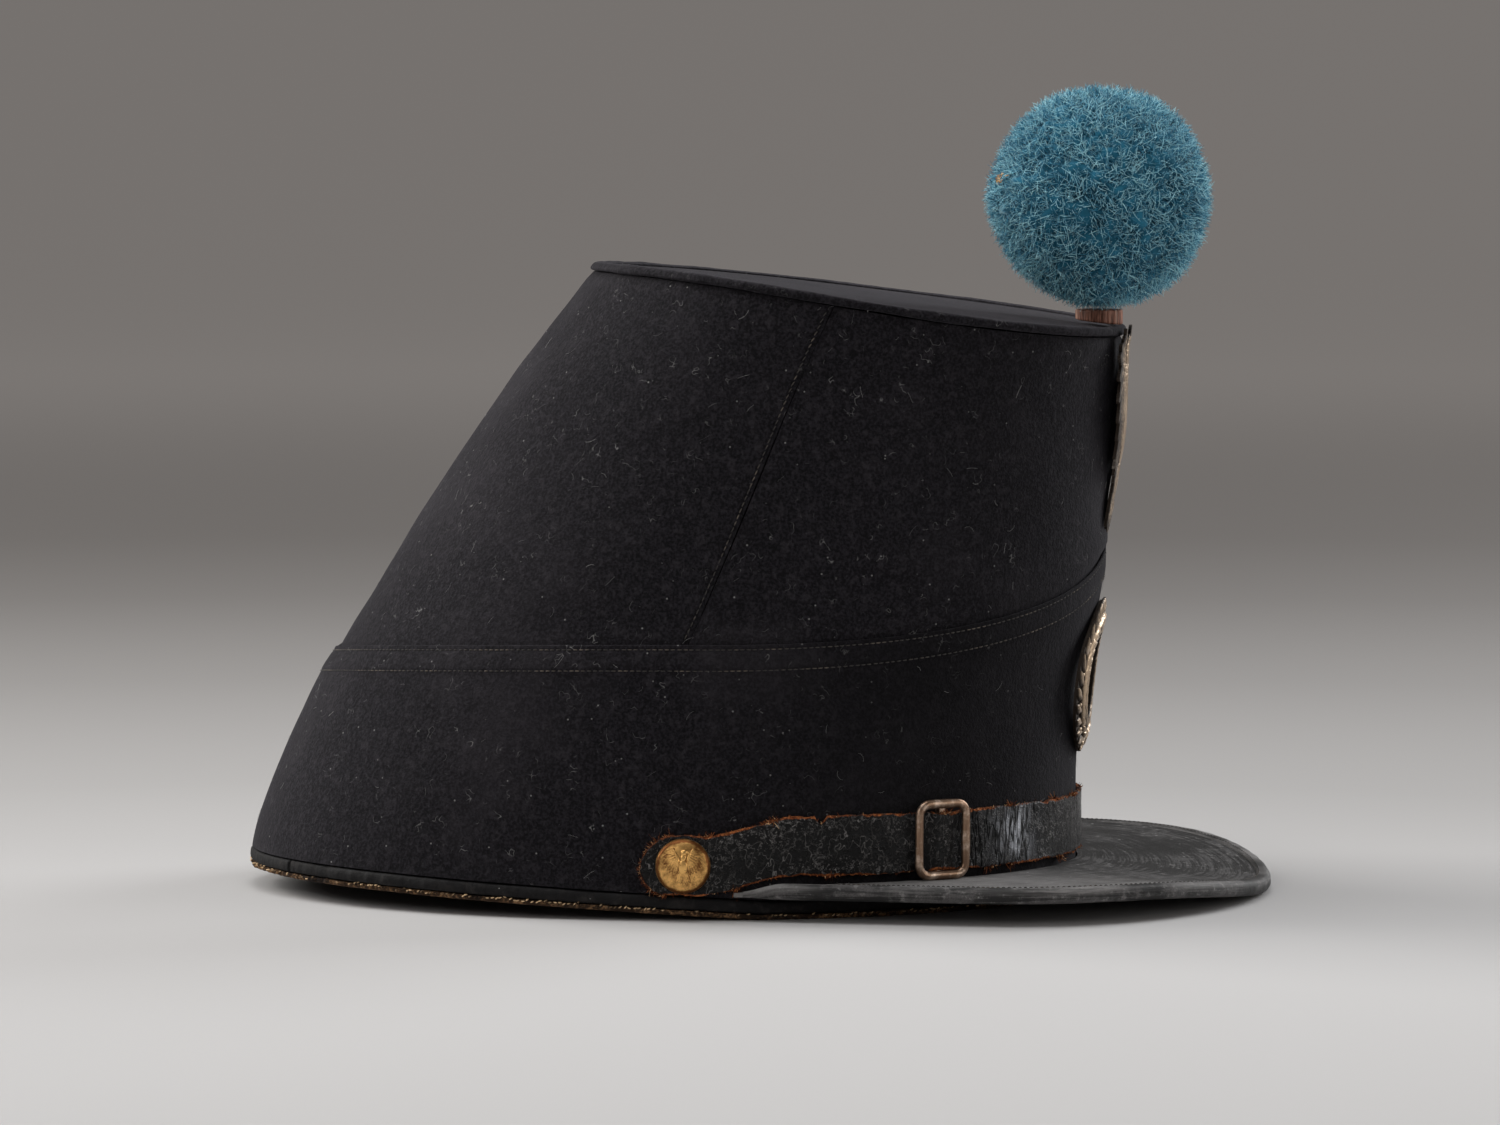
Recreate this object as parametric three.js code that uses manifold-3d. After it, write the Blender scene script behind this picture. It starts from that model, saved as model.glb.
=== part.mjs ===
// A soldier's cloth shako of the middle of the nineteenth century: a stiff cloth crown that leans forward,
// a cloth band with a peaked upper edge, a flat leather visor, a chin strap with its buckle and two buttons,
// two stamped plates on the front and a round wool pompom on a short stem.
// Millimetres, +Z up, the front towards +X, its right-hand side towards -Y. It rests on its lower edge.

import * as THREE from "three";
import { mergeVertices } from "three/addons/utils/BufferGeometryUtils.js";
import Module from "manifold-3d";

const wasm = await Module();
wasm.setup();

// Crown: the outer face of its cloth wall, without the band
const BASE_LENGTH = 221.4; // at the table, back to front
const BASE_WIDTH = 165; // at the table, side to side
const CROWN_LENGTH = 142.8; // at the rim
const CROWN_WIDTH = 135.6; // at the rim
const CROWN_LEAN = 54.5; // how far the top's middle stands ahead of the base's
const BACK_HEIGHT = 168.4; // rim above the table at the back
const FRONT_HEIGHT = 152.2; // rim above the table at the front
const WALL = 2.4; // stiffened cloth
const SEAM_LOW = 92; // the side seams lean: degrees round from the front, at the table
const SEAM_HIGH = 88; // and at the rim
const SEAM_GAP = 0.12; // degrees on each side of a seam's line
const CLEARANCE = 0.3; // between pieces that touch

// Welt and top
const WELT_HEIGHT = 2.5;
const WELT_PROUD = 1.3; // beyond the wall
const WELT_ROUNDED = 0.3; // share of its height that each rounded edge takes
const TOP_THICKNESS = 1.8;
const TOP_SUNK = 0.6; // below the welt's upper face

// Band, binding and the raw edge that the cap stands on
const BAND_THICKNESS = 1.2;
const BAND_BACK = 64; // height of its upper edge at the back
const BAND_SIDE = 72;
const BAND_FRONT = 92.5; // its peak
const BAND_SWEEP = 90; // degrees from the front over which it climbs
const BAND_CLIMB = 2.35; // power of that climb
const BAND_SINK = 1.6; // power of its fall from the side to the back
const BINDING_HEIGHT = 3.4;
const BINDING_PROUD = 0.3; // beyond the band
const BINDING_ROUNDED = 0.22; // share of its height that each rounded edge takes
const EDGE_HEIGHT = 1.3;
const EDGE_INSET = 0.7; // behind the binding's face
const HEEL_RISE = 5.5; // the lower edge lifts off the table at the back
const HEEL_START_RIGHT = 36; // where it starts, ahead of the base's middle
const HEEL_START_LEFT = -10;
const HEEL_END = 95; // where it is done, behind the base's middle
const HEEL_CURVE = 1.6; // above 1 it lifts quickly at first, then less and less

// Visor
const VISOR_REACH = 52; // beyond the band at the front
const VISOR_OVERHANG = 4.4; // beyond the band at the sides
const VISOR_ANGLE = 75.5; // its rear corners, in degrees round from the front
const VISOR_SHOULDER = 16; // its straight sides end this far behind the band's front
const VISOR_STRAIGHT = 0.42; // share of each half of its outline that the straight side takes
const CORNER_PROUD = 2; // its rear corners beyond the binding
const CORNER_THIN = 0.45; // share of its thickness at its rear corners
const VISOR_THICKNESS = 2.4;
const VISOR_HEIGHT = 9.2; // its upper face at the band
const VISOR_DROOP = 5.4; // from there to the tip
const TRIM_THICKNESS = 0.6;
const TRIM_WIDTH = 3.2;

// Chin strap, buckle and buttons
const STRAP_WIDTH = 16;
const STRAP_THICKNESS = 1.4;
const STRAP_NECK = 1; // how much narrower it is worn where it crosses the buckle's bar
const STRAP_TAIL = 11; // beyond each button's middle
const DIP_AHEAD = 7.5; // it starts to dip this many degrees ahead of the visor's rear corners
const DIP_BEHIND = 4.5; // and is down this many degrees behind them
const BUTTON_DIAMETER = 14.5;
const BUTTON_THICKNESS = 3.4;
const BUTTON_BEHIND = 7; // degrees behind the visor's rear corners
const BUTTON_RIM = 0.3; // share of its thickness below the dome
const BUCKLE_ANGLE = -45; // on the right-hand side
const BUCKLE_LENGTH = 16.4;
const BUCKLE_WIRE = 2;
const BUCKLE_BEND = 3; // radius of its corners, at the wire's middle
const BUCKLE_SLACK = 0.65; // the strap lies this much below its middle
const BAR_THICKNESS = 0.8;
const BAR_STAND = 0.15; // further off the band than the strap is
const BAR_WIDTH = 2;

// Pompom, stem and front plates
const POMPOM_DIAMETER = 60.4;
const STEM_DIAMETER = 12.6;
const STEM_HEIGHT = 3.4; // on its middle line
const STEM_SETBACK = 6; // its middle behind the rim's front
const POMPOM_FLAT = 1.1; // its flat underside, as a share of the stem's diameter
const PLATE_THICKNESS = 0.8;
const PLATE_FLATNESS = 1.25; // the diameter of the plates' curve, as a share of the rim's width
const EAGLE_WIDTH = 38;
const EAGLE_STANDOFF = 2.4; // the widest gap behind it
const EAGLE_FOOT = 3.5; // its foot above the band's peak
const EAGLE_DROP = 0.2; // its head below the rim
const WREATH_HEIGHT = 41;
const WREATH_WIDTH = 43;
const WREATH_RIM = 9; // width of its ring
const WREATH_MIDDLE = 58; // height of its middle
const WREATH_STANDOFF = 1.7;

const TURN_STEPS = 72;
const NUDGE = 0.01;
const FULL_TURN = 2 * Math.PI;
const radians = THREE.MathUtils.degToRad;
const mix = THREE.MathUtils.lerp;

// How the wall goes from the base's outline to the rim's: "up" is a share of BACK_HEIGHT, the others are
// shares of the way from the base's back, front and side to the rim's.
const WALL_PROFILE = [
  { up: 0.0, back: 0.0, front: 0.0, side: 0.0 },
  { up: 0.059, back: 0.004, front: 0.0, side: 0.01 },
  { up: 0.118, back: 0.032, front: 0.0, side: 0.03 },
  { up: 0.237, back: 0.119, front: 0.039, side: 0.099 },
  { up: 0.375, back: 0.24, front: 0.187, side: 0.237 },
  { up: 0.457, back: 0.328, front: 0.394, side: 0.335 },
  { up: 0.546, back: 0.427, front: 0.562, side: 0.444 },
  { up: 0.697, back: 0.601, front: 0.729, side: 0.641 },
  { up: 0.838, back: 0.775, front: 0.828, side: 0.829 },
  { up: 1.0, back: 1.0, front: 1.0, side: 1.0 },
];

// Bends of the old rim: "angle" and "spread" are degrees round from the front, "rise" a share of BACK_HEIGHT
const RIM_BENDS = [
  { angle: -118, spread: 50, rise: 0.0214 },
  { angle: 80, spread: 45, rise: -0.0042 },
];

// Half of the eagle plate's outline, from the head down one side to the tail: "out" is a share of half its
// width, "up" a share of its height
const EAGLE_OUTLINE = [
  { out: 0.0, up: 1.0 },
  { out: 0.17, up: 0.96 },
  { out: 0.2, up: 0.87 },
  { out: 0.2, up: 0.79 },
  { out: 0.46, up: 0.8 },
  { out: 0.76, up: 0.71 },
  { out: 0.95, up: 0.54 },
  { out: 1.0, up: 0.34 },
  { out: 0.88, up: 0.15 },
  { out: 0.6, up: 0.24 },
  { out: 0.36, up: 0.27 },
  { out: 0.42, up: 0.08 },
  { out: 0.22, up: 0.0 },
  { out: 0.0, up: 0.0 },
];

// Gap behind the eagle plate: "up" is a share of its height, "gap" of EAGLE_STANDOFF
const EAGLE_GAP = [
  { up: 0.0, gap: 0.2 },
  { up: 0.2, gap: 0.45 },
  { up: 0.35, gap: 0.75 },
  { up: 0.53, gap: 1.0 },
  { up: 0.75, gap: 0.85 },
  { up: 1.0, gap: 0.55 },
];

// Smooth reading of one column of a table whose rows are sorted by the column "at"
function readColumn(table, at, column, value) {
  const last = table.length - 1;
  let i = 0;
  while (i < last - 1 && table[i + 1][at] < value) i += 1;
  const slope = (k) => {
    const a = table[Math.max(k - 1, 0)];
    const b = table[Math.min(k + 1, last)];
    return (b[column] - a[column]) / (b[at] - a[at]);
  };
  const from = table[i];
  const to = table[i + 1];
  const span = to[at] - from[at];
  const t = (value - from[at]) / span;
  if (t < 0) return from[column];
  if (t > 1) return to[column] + slope(i + 1) * (value - to[at]);
  const rise = t * (1 - t) * (1 - t) * span * slope(i);
  const fall = t * t * (t - 1) * span * slope(i + 1);
  return mix(from[column], to[column], t * t * (3 - 2 * t)) + rise + fall;
}

const clamp = THREE.MathUtils.clamp;
const smooth = (t) => clamp(t, 0, 1) ** 2 * (3 - 2 * clamp(t, 0, 1));
const steps = (count, from, to) => Array.from({ length: count + 1 }, (_, i) => mix(from, to, i / count));
const around = (count) => steps(count, 0, FULL_TURN).slice(0, -1);

// Outline of the wall at a height
function outlineAt(z) {
  const share = (column) => readColumn(WALL_PROFILE, "up", column, z / BACK_HEIGHT);
  const back = mix(-BASE_LENGTH / 2, CROWN_LEAN - CROWN_LENGTH / 2, share("back"));
  const front = mix(BASE_LENGTH / 2, CROWN_LEAN + CROWN_LENGTH / 2, share("front"));
  const side = mix(BASE_WIDTH / 2, CROWN_WIDTH / 2, share("side"));
  return { middle: (front + back) / 2, reach: (front - back) / 2, side };
}

function bareWall(angle, z) {
  const { middle, reach, side } = outlineAt(z);
  return new THREE.Vector3(middle + reach * Math.cos(angle), side * Math.sin(angle), z);
}

function wallNormal(angle, z) {
  const round = bareWall(angle + NUDGE, z).sub(bareWall(angle - NUDGE, z));
  const rise = bareWall(angle, z + NUDGE).sub(bareWall(angle, z - NUDGE));
  return round.cross(rise).normalize();
}

// A point at height z that lies "proud" millimetres outside the wall's face, measured square to the wall
function wallPoint(angle, z, proud) {
  const normal = wallNormal(angle, z);
  const level = new THREE.Vector3(normal.x, normal.y, 0);
  return bareWall(angle, z).addScaledVector(level, proud / level.lengthSq());
}

// How far the wall's face runs for each radian round it
const girthAt = (angle, z) =>
  wallPoint(angle + NUDGE, z, 0).distanceTo(wallPoint(angle - NUDGE, z, 0)) / (2 * NUDGE);

// Rim: a plane that falls towards the front, with the bends of its table
const rimPlane = (x) =>
  mix(BACK_HEIGHT, FRONT_HEIGHT, (x - CROWN_LEAN + CROWN_LENGTH / 2) / CROWN_LENGTH);

function rimBend(angle) {
  const total = RIM_BENDS.map(({ angle: at, spread, rise }) => {
    const off = Math.atan2(Math.sin(angle - radians(at)), Math.cos(angle - radians(at))) / radians(spread);
    return rise * BACK_HEIGHT * Math.exp(-off * off);
  });
  return total[0] + total[1];
}

// A point of the rim, "proud" outside the wall and "drop" below the rim's upper face
function rimPoint(angle, proud, drop) {
  let z = BACK_HEIGHT;
  const settle = 12;
  for (let i = 0; i < settle; i += 1) {
    z = rimPlane(wallPoint(angle, z, proud).x) + rimBend(angle) - drop;
  }
  return wallPoint(angle, z, proud);
}

// Lower edge: on the table in front, lifting off it towards the back, later on the left than on the right
function baseHeight(angle) {
  const start = mix(HEEL_START_LEFT, HEEL_START_RIGHT, (1 - Math.sin(angle)) / 2);
  const behind = clamp((start - bareWall(angle, 0).x) / (start + HEEL_END), 0, 1);
  return HEEL_RISE * (1 - (1 - behind) ** HEEL_CURVE);
}

// Upper edge of the band: it sinks a little towards the back and climbs to a peak at the front
function bandHeight(angle) {
  const turn = Math.abs(Math.atan2(Math.sin(angle), Math.cos(angle)));
  const behind = clamp((turn - Math.PI / 2) / (Math.PI / 2), 0, 1);
  const ahead = clamp(1 - turn / radians(BAND_SWEEP), 0, 1);
  return mix(BAND_SIDE, BAND_BACK, behind ** BAND_SINK) + (BAND_FRONT - BAND_SIDE) * ahead ** BAND_CLIMB;
}

function geometryOf(points, index) {
  const geometry = new THREE.BufferGeometry();
  const positions = points.flatMap((p) => [p.x, p.y, p.z]);
  geometry.setAttribute("position", new THREE.Float32BufferAttribute(positions, 3));
  geometry.setIndex(index);
  return outward(geometry);
}

// Turns a closed geometry's faces outwards where they point in
function outward(geometry) {
  const places = geometry.getAttribute("position");
  const index = Array.from(geometry.getIndex().array);
  const corner = (i) => new THREE.Vector3().fromBufferAttribute(places, index[i]);
  let volume = 0;
  for (let i = 0; i < index.length; i += 3) {
    volume += corner(i).dot(corner(i + 1).cross(corner(i + 2)));
  }
  if (volume < 0) index.reverse();
  geometry.setIndex(index);
  const flat = geometry.toNonIndexed();
  flat.computeVertexNormals();
  return flat;
}

// A solid from rows of closed sections that all have the same count of points. A ring joins its last row
// to its first. Otherwise both ends are capped, and point j of a section faces point (count - 1 - j).
function loft(rows, ring) {
  const count = rows[0].length;
  const index = [];
  const quad = (a, b, c, d) => index.push(a, b, c, a, c, d);
  const joints = ring ? rows.length : rows.length - 1;
  for (let i = 0; i < joints; i += 1) {
    const next = (i + 1) % rows.length;
    for (let j = 0; j < count; j += 1) {
      const k = (j + 1) % count;
      quad(i * count + j, next * count + j, next * count + k, i * count + k);
    }
  }
  if (!ring) {
    const end = (rows.length - 1) * count;
    for (let j = 0; j < count / 2 - 1; j += 1) {
      const faced = count - 1 - j;
      quad(j, j + 1, faced - 1, faced);
      quad(end + faced, end + faced - 1, end + j + 1, end + j);
    }
  }
  return geometryOf(rows.flat(), index);
}

// A ring round the lower edge or the rim, from the corners of its section
const ringPiece = (corners, place) =>
  loft(
    around(TURN_STEPS).map((angle) => corners.map(([proud, up]) => place(angle, proud, up))),
    true,
  );

const bandOuter = CLEARANCE + BAND_THICKNESS;
const bindingFace = bandOuter + BINDING_PROUD;
const bodyBottom = (angle) => baseHeight(angle) + EDGE_HEIGHT + BINDING_HEIGHT + 2 * CLEARANCE;
const bandLevels = (angle) => steps(5, bodyBottom(angle), bandHeight(angle));

// One half of the crown, between two side seams, whose lines are given as angles at a height
function crownHalf(from, to) {
  const middles = steps(TURN_STEPS, 0, FULL_TURN)
    .flatMap((turn) => [turn, turn - FULL_TURN])
    .filter((turn) => turn > from(BACK_HEIGHT) + NUDGE && turn > from(0) + NUDGE)
    .filter((turn) => turn < to(BACK_HEIGHT) - NUDGE && turn < to(0) - NUDGE)
    .sort((a, b) => a - b);
  const lines = [from, ...middles.map((turn) => () => turn), to];
  const rows = lines.map((line) => {
    const joint = bandHeight(line(BAND_SIDE));
    const face = (proud) => {
      const top = rimPoint(line(BACK_HEIGHT), proud, WELT_HEIGHT + CLEARANCE).z;
      const levels = [...steps(5, bodyBottom(line(0)), joint), ...steps(5, joint, top).slice(1)];
      return levels.map((z) => wallPoint(line(z), z, proud));
    };
    return [...face(0), ...face(-WALL).reverse()];
  });
  return loft(rows, false);
}

const seamLine = (z) => radians(mix(SEAM_LOW, SEAM_HIGH, z / BACK_HEIGHT));
const seamGap = radians(SEAM_GAP);
const crownFront = () => crownHalf((z) => seamGap - seamLine(z), (z) => seamLine(z) - seamGap);
const crownBack = () => crownHalf((z) => seamLine(z) + seamGap, (z) => FULL_TURN - seamLine(z) - seamGap);

function band() {
  const rows = around(TURN_STEPS).map((angle) => {
    const outside = bandLevels(angle).map((z) => wallPoint(angle, z, bandOuter));
    const inside = bandLevels(angle).map((z) => wallPoint(angle, z, CLEARANCE));
    return [...outside, ...inside.reverse()];
  });
  return loft(rows, true);
}

function baseBinding() {
  const low = EDGE_HEIGHT + CLEARANCE;
  const high = low + BINDING_HEIGHT;
  const soft = BINDING_HEIGHT * BINDING_ROUNDED;
  const corners = [
    [-WALL, low],
    [bindingFace - soft, low],
    [bindingFace, low + soft],
    [bindingFace, high - soft],
    [bindingFace - soft, high],
    [-WALL, high],
  ];
  return ringPiece(corners, (angle, proud, up) => wallPoint(angle, baseHeight(angle) + up, proud));
}

function rawEdge() {
  const face = bindingFace - EDGE_INSET;
  const corners = [
    [-WALL, 0],
    [face, 0],
    [face, EDGE_HEIGHT],
    [-WALL, EDGE_HEIGHT],
  ];
  return ringPiece(corners, (angle, proud, up) => wallPoint(angle, baseHeight(angle) + up, proud));
}

function topWelt() {
  const soft = WELT_HEIGHT * WELT_ROUNDED;
  const corners = [
    [-WALL, WELT_HEIGHT],
    [WELT_PROUD - soft, WELT_HEIGHT],
    [WELT_PROUD, WELT_HEIGHT - soft],
    [WELT_PROUD, soft],
    [WELT_PROUD - soft, 0],
    [-WALL, 0],
  ];
  return ringPiece(corners, rimPoint);
}

function crownTop() {
  const face = (drop) => around(TURN_STEPS).map((angle) => rimPoint(angle, -WALL - CLEARANCE, drop));
  const upper = face(TOP_SUNK);
  const lower = face(TOP_SUNK + TOP_THICKNESS);
  const hub = (ring) => ring.reduce((sum, p) => sum.add(p), new THREE.Vector3()).divideScalar(ring.length);
  const index = [];
  const upperHub = 2 * TURN_STEPS;
  for (let i = 0; i < TURN_STEPS; i += 1) {
    const next = (i + 1) % TURN_STEPS;
    const [a, b] = [TURN_STEPS + i, TURN_STEPS + next];
    index.push(upperHub, i, next, upperHub + 1, b, a, i, a, b, i, b, next);
  }
  return geometryOf([...upper, ...lower, hub(upper), hub(lower)], index);
}

// Chin strap: the height of its middle line, above the visor in front and beside the binding at its ends
const buckleHeight = STRAP_WIDTH - STRAP_NECK + 2 * (BUCKLE_SLACK + CLEARANCE + BUCKLE_WIRE);
const strapFront = VISOR_HEIGHT + CLEARANCE + buckleHeight / 2 - BUCKLE_SLACK;
const buttonAngle = radians(VISOR_ANGLE + BUTTON_BEHIND);
const dipStart = radians(VISOR_ANGLE - DIP_AHEAD);
const dipEnd = radians(VISOR_ANGLE + DIP_BEHIND);
const strapEnd = bodyBottom(-buttonAngle) + STRAP_WIDTH / 2;

const strapHeight = (angle) =>
  mix(strapFront, strapEnd, smooth((Math.abs(angle) - dipStart) / (dipEnd - dipStart)));

// Visor: in plan it runs straight forward from each rear corner, then round the front. "share" goes from -1
// at the right rear corner through 0 at the tip to 1 at the left one.
const visorCorner = wallPoint(radians(VISOR_ANGLE), VISOR_HEIGHT, bindingFace + CORNER_PROUD);
const visorSide = BASE_WIDTH / 2 + bandOuter + VISOR_OVERHANG;
const visorFront = BASE_LENGTH / 2 + bandOuter;
const visorTip = visorFront + VISOR_REACH;
const visorShares = steps(40, -1, 1);

function visorOutline(share) {
  const side = Math.sign(share) || 1;
  const along = 1 - Math.abs(share);
  const shoulder = visorFront - VISOR_SHOULDER;
  if (along < VISOR_STRAIGHT) {
    const t = along / VISOR_STRAIGHT;
    return new THREE.Vector2(mix(visorCorner.x, shoulder, t), side * mix(visorCorner.y, visorSide, t));
  }
  const turn = ((along - VISOR_STRAIGHT) / (1 - VISOR_STRAIGHT)) * (Math.PI / 2);
  return new THREE.Vector2(mix(shoulder, visorTip, Math.sin(turn)), side * visorSide * Math.cos(turn));
}

// How much of the visor's rear corner is past, going forward: 0 at the corner, 1 where it is level
function pastCorner(x) {
  const level = wallPoint(dipStart, VISOR_HEIGHT, bandOuter).x;
  return smooth((x - visorCorner.x) / (level - visorCorner.x));
}

// Height of the visor's upper face: tucked under the strap at its rear corners, drooping to the tip
function visorHeight(x, y) {
  const tuck = VISOR_HEIGHT + 2 * CLEARANCE + STRAP_WIDTH / 2 - strapHeight(radians(VISOR_ANGLE));
  const ahead = clamp((x - visorFront) / VISOR_REACH, 0, 1);
  const across = clamp(1 - (y / visorSide) ** 2, 0, 1);
  return VISOR_HEIGHT - tuck * (1 - pastCorner(x)) - VISOR_DROOP * ahead * across * across;
}

function visor() {
  const rows = visorShares.map((share) => {
    const outer = visorOutline(share);
    const root = wallPoint(radians(VISOR_ANGLE) * share, VISOR_HEIGHT, bindingFace + CLEARANCE);
    const thin = mix(CORNER_THIN, 1, pastCorner(outer.x));
    const top = steps(4, 0, 1).map((t) => {
      const x = mix(root.x, outer.x, t);
      const y = mix(root.y, outer.y, t);
      return new THREE.Vector3(x, y, visorHeight(x, y));
    });
    const down = new THREE.Vector3(0, 0, VISOR_THICKNESS * thin);
    const under = top.map((p) => p.clone().sub(down)).reverse();
    return [...top, ...under];
  });
  return loft(rows, false);
}

// The leather folded over the visor's edge, as long as its section clears the strap
function visorTrim() {
  const over = CLEARANCE + TRIM_THICKNESS;
  const shares = visorShares.filter((share) => pastCorner(visorOutline(share).x) === 1);
  const rows = shares.map((share) => {
    const here = visorOutline(share);
    const along = visorOutline(share + NUDGE).sub(visorOutline(share - NUDGE)).normalize();
    const corners = [
      [-TRIM_WIDTH, over],
      [over, over],
      [over, -VISOR_THICKNESS - over],
      [-TRIM_WIDTH, -VISOR_THICKNESS - over],
      [-TRIM_WIDTH, -VISOR_THICKNESS - CLEARANCE],
      [CLEARANCE, -VISOR_THICKNESS - CLEARANCE],
      [CLEARANCE, CLEARANCE],
      [-TRIM_WIDTH, CLEARANCE],
    ];
    return corners.map(([proud, up]) => {
      const x = here.x + along.y * proud;
      const y = here.y - along.x * proud;
      const inset = Math.max(-proud, 0);
      const face = visorHeight(here.x - inset * along.y, here.y + inset * along.x);
      return new THREE.Vector3(x, y, face + up);
    });
  });
  return loft(rows, false);
}

// A frame on the wall, with its X along the wall, its Y up it and its Z out of it
function seatOn(angle, z, proud) {
  const out = wallNormal(angle, z);
  const along = new THREE.Vector3(0, 0, 1).cross(out).normalize();
  const up = new THREE.Vector3().crossVectors(out, along);
  const turn = new THREE.Matrix4().makeBasis(along, up, out);
  return { place: wallPoint(angle, z, proud), along, turn };
}

const strapInner = bandOuter + CLEARANCE;
const strapLift = BAR_STAND + BAR_THICKNESS + CLEARANCE + BAR_STAND;
const buckleSeat = seatOn(radians(BUCKLE_ANGLE), strapFront + BUCKLE_SLACK, 0);

// The strap rises over the buckle's bar and lies down again under the sides of its frame: 1 on the bar
function overBar(point) {
  const offset = point.clone().sub(buckleSeat.place);
  if (offset.length() > BUCKLE_LENGTH) return 0;
  const away = Math.abs(offset.dot(buckleSeat.along));
  const flat = BAR_WIDTH / 2 + CLEARANCE;
  const clear = BUCKLE_LENGTH / 2 - BUCKLE_WIRE - CLEARANCE;
  return 1 - smooth((away - flat) / (clear - flat));
}

function chinStrap() {
  const radius = STRAP_WIDTH / 2;
  const girth = girthAt(buttonAngle, strapEnd);
  const end = buttonAngle + STRAP_TAIL / girth;
  const round = steps(6, radians(12), Math.PI / 2).map((turn) => ({
    angle: end - (radius * (1 - Math.cos(turn))) / girth,
    half: radius * Math.sin(turn),
  }));
  const inner = round[round.length - 1].angle;
  const bucklePart = BUCKLE_LENGTH / girthAt(radians(BUCKLE_ANGLE), strapFront);
  const near = steps(22, radians(BUCKLE_ANGLE) - bucklePart, radians(BUCKLE_ANGLE) + bucklePart);
  const far = steps(40, -inner, inner).slice(1, -1).filter((a) => a < near[0] || a > near[near.length - 1]);
  const straight = [...far, ...near].sort((a, b) => a - b).map((angle) => ({ angle, half: radius }));
  const right = round.map(({ angle, half }) => ({ angle: -angle, half }));
  const rows = [...right, ...straight, ...round.reverse()].map(({ angle, half }) => {
    const middle = wallPoint(angle, strapHeight(angle), 0);
    const over = overBar(middle);
    const corner = (side, proud) => {
      const z = strapHeight(angle) + side * (half - (over * STRAP_NECK) / 2);
      return wallPoint(angle, z, strapInner + over * strapLift + proud);
    };
    return [corner(-1, STRAP_THICKNESS), corner(1, STRAP_THICKNESS), corner(1, 0), corner(-1, 0)];
  });
  return loft(rows, false);
}

// A turned piece, its axis along Z, from a profile of [radius, height] pairs
const turned = (profile, segments) =>
  new THREE.LatheGeometry(
    profile.map(([radius, height]) => new THREE.Vector2(radius, height)),
    segments,
  ).rotateX(Math.PI / 2);

function button() {
  const radius = BUTTON_DIAMETER / 2;
  const rim = BUTTON_THICKNESS * BUTTON_RIM;
  const lip = radius * 0.96;
  const dome = steps(4, 0, Math.PI / 2)
    .slice(1, -1)
    .map((turn) => [lip * Math.cos(turn), mix(rim, BUTTON_THICKNESS, Math.sin(turn))]);
  return turned([[0, 0], [lip, 0], [radius, rim / 2], [lip, rim], ...dome, [0, BUTTON_THICKNESS]], 28);
}

// Joins closed geometries in one
function toSolid(geometry) {
  const bare = geometry.clone();
  bare.deleteAttribute("normal");
  bare.deleteAttribute("uv");
  const merged = mergeVertices(bare);
  const vertProperties = merged.getAttribute("position").array;
  const triVerts = Uint32Array.from(merged.getIndex().array);
  return new wasm.Manifold(new wasm.Mesh({ numProp: 3, vertProperties, triVerts }));
}

function toGeometry(solid) {
  const { vertProperties, triVerts } = solid.getMesh();
  const geometry = new THREE.BufferGeometry();
  geometry.setAttribute("position", new THREE.BufferAttribute(vertProperties, 3));
  geometry.setIndex(Array.from(triVerts));
  return outward(geometry);
}

// Buckle: a wire frame over the strap, with a flat bar behind it, brazed in one piece. Its axes are those
// of its seat.
function buckle() {
  const wire = BUCKLE_WIRE / 2;
  const halfLength = BUCKLE_LENGTH / 2 - wire;
  const halfHeight = buckleHeight / 2 - wire;
  const depth = strapInner + STRAP_THICKNESS + CLEARANCE + wire;
  const rows = [0, 1, 2, 3].flatMap((quarter) => {
    const sx = quarter === 0 || quarter === 3 ? 1 : -1;
    const sy = quarter < 2 ? 1 : -1;
    return steps(4, quarter, quarter + 1).map((quarters) => {
      const turn = quarters * (Math.PI / 2);
      const ray = new THREE.Vector3(Math.cos(turn), Math.sin(turn), 0);
      const [x, y] = [sx * (halfLength - BUCKLE_BEND), sy * (halfHeight - BUCKLE_BEND)];
      const corner = new THREE.Vector3(x, y, depth);
      const middle = corner.addScaledVector(ray, BUCKLE_BEND);
      return around(8).map((round) => {
        const point = middle.clone().addScaledVector(ray, wire * Math.cos(round));
        point.z += wire * Math.sin(round);
        return point;
      });
    });
  });
  let whole = toSolid(loft(rows, true));
  const bar = new THREE.BoxGeometry(BAR_WIDTH, 2 * halfHeight, BAR_THICKNESS);
  whole = whole.add(toSolid(bar.translate(0, 0, strapInner + BAR_STAND + BAR_THICKNESS / 2)));
  for (const side of [-1, 1]) {
    const from = (STRAP_WIDTH - STRAP_NECK) / 2 + CLEARANCE - side * BUCKLE_SLACK;
    const post = new THREE.BoxGeometry(BAR_WIDTH, halfHeight - from, depth - strapInner - BAR_STAND);
    post.translate(0, (side * (halfHeight + from)) / 2, (depth + strapInner + BAR_STAND) / 2);
    whole = whole.add(toSolid(post));
  }
  return toGeometry(whole);
}

// Stem: an upright round post whose foot follows the slope of the rim
const stemMiddle = rimPoint(0, 0, 0).x - STEM_SETBACK;
const stemTop = rimPlane(stemMiddle) + CLEARANCE + STEM_HEIGHT;

function stem() {
  const ring = (radius, height) =>
    around(24).map((turn) => {
      const x = stemMiddle + radius * Math.cos(turn);
      return new THREE.Vector3(x, radius * Math.sin(turn), height(x));
    });
  const radius = STEM_DIAMETER / 2;
  const foot = ring(radius, (x) => rimPlane(x) + CLEARANCE);
  const head = ring(radius, () => stemTop);
  return loft([foot, head], false);
}

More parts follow.
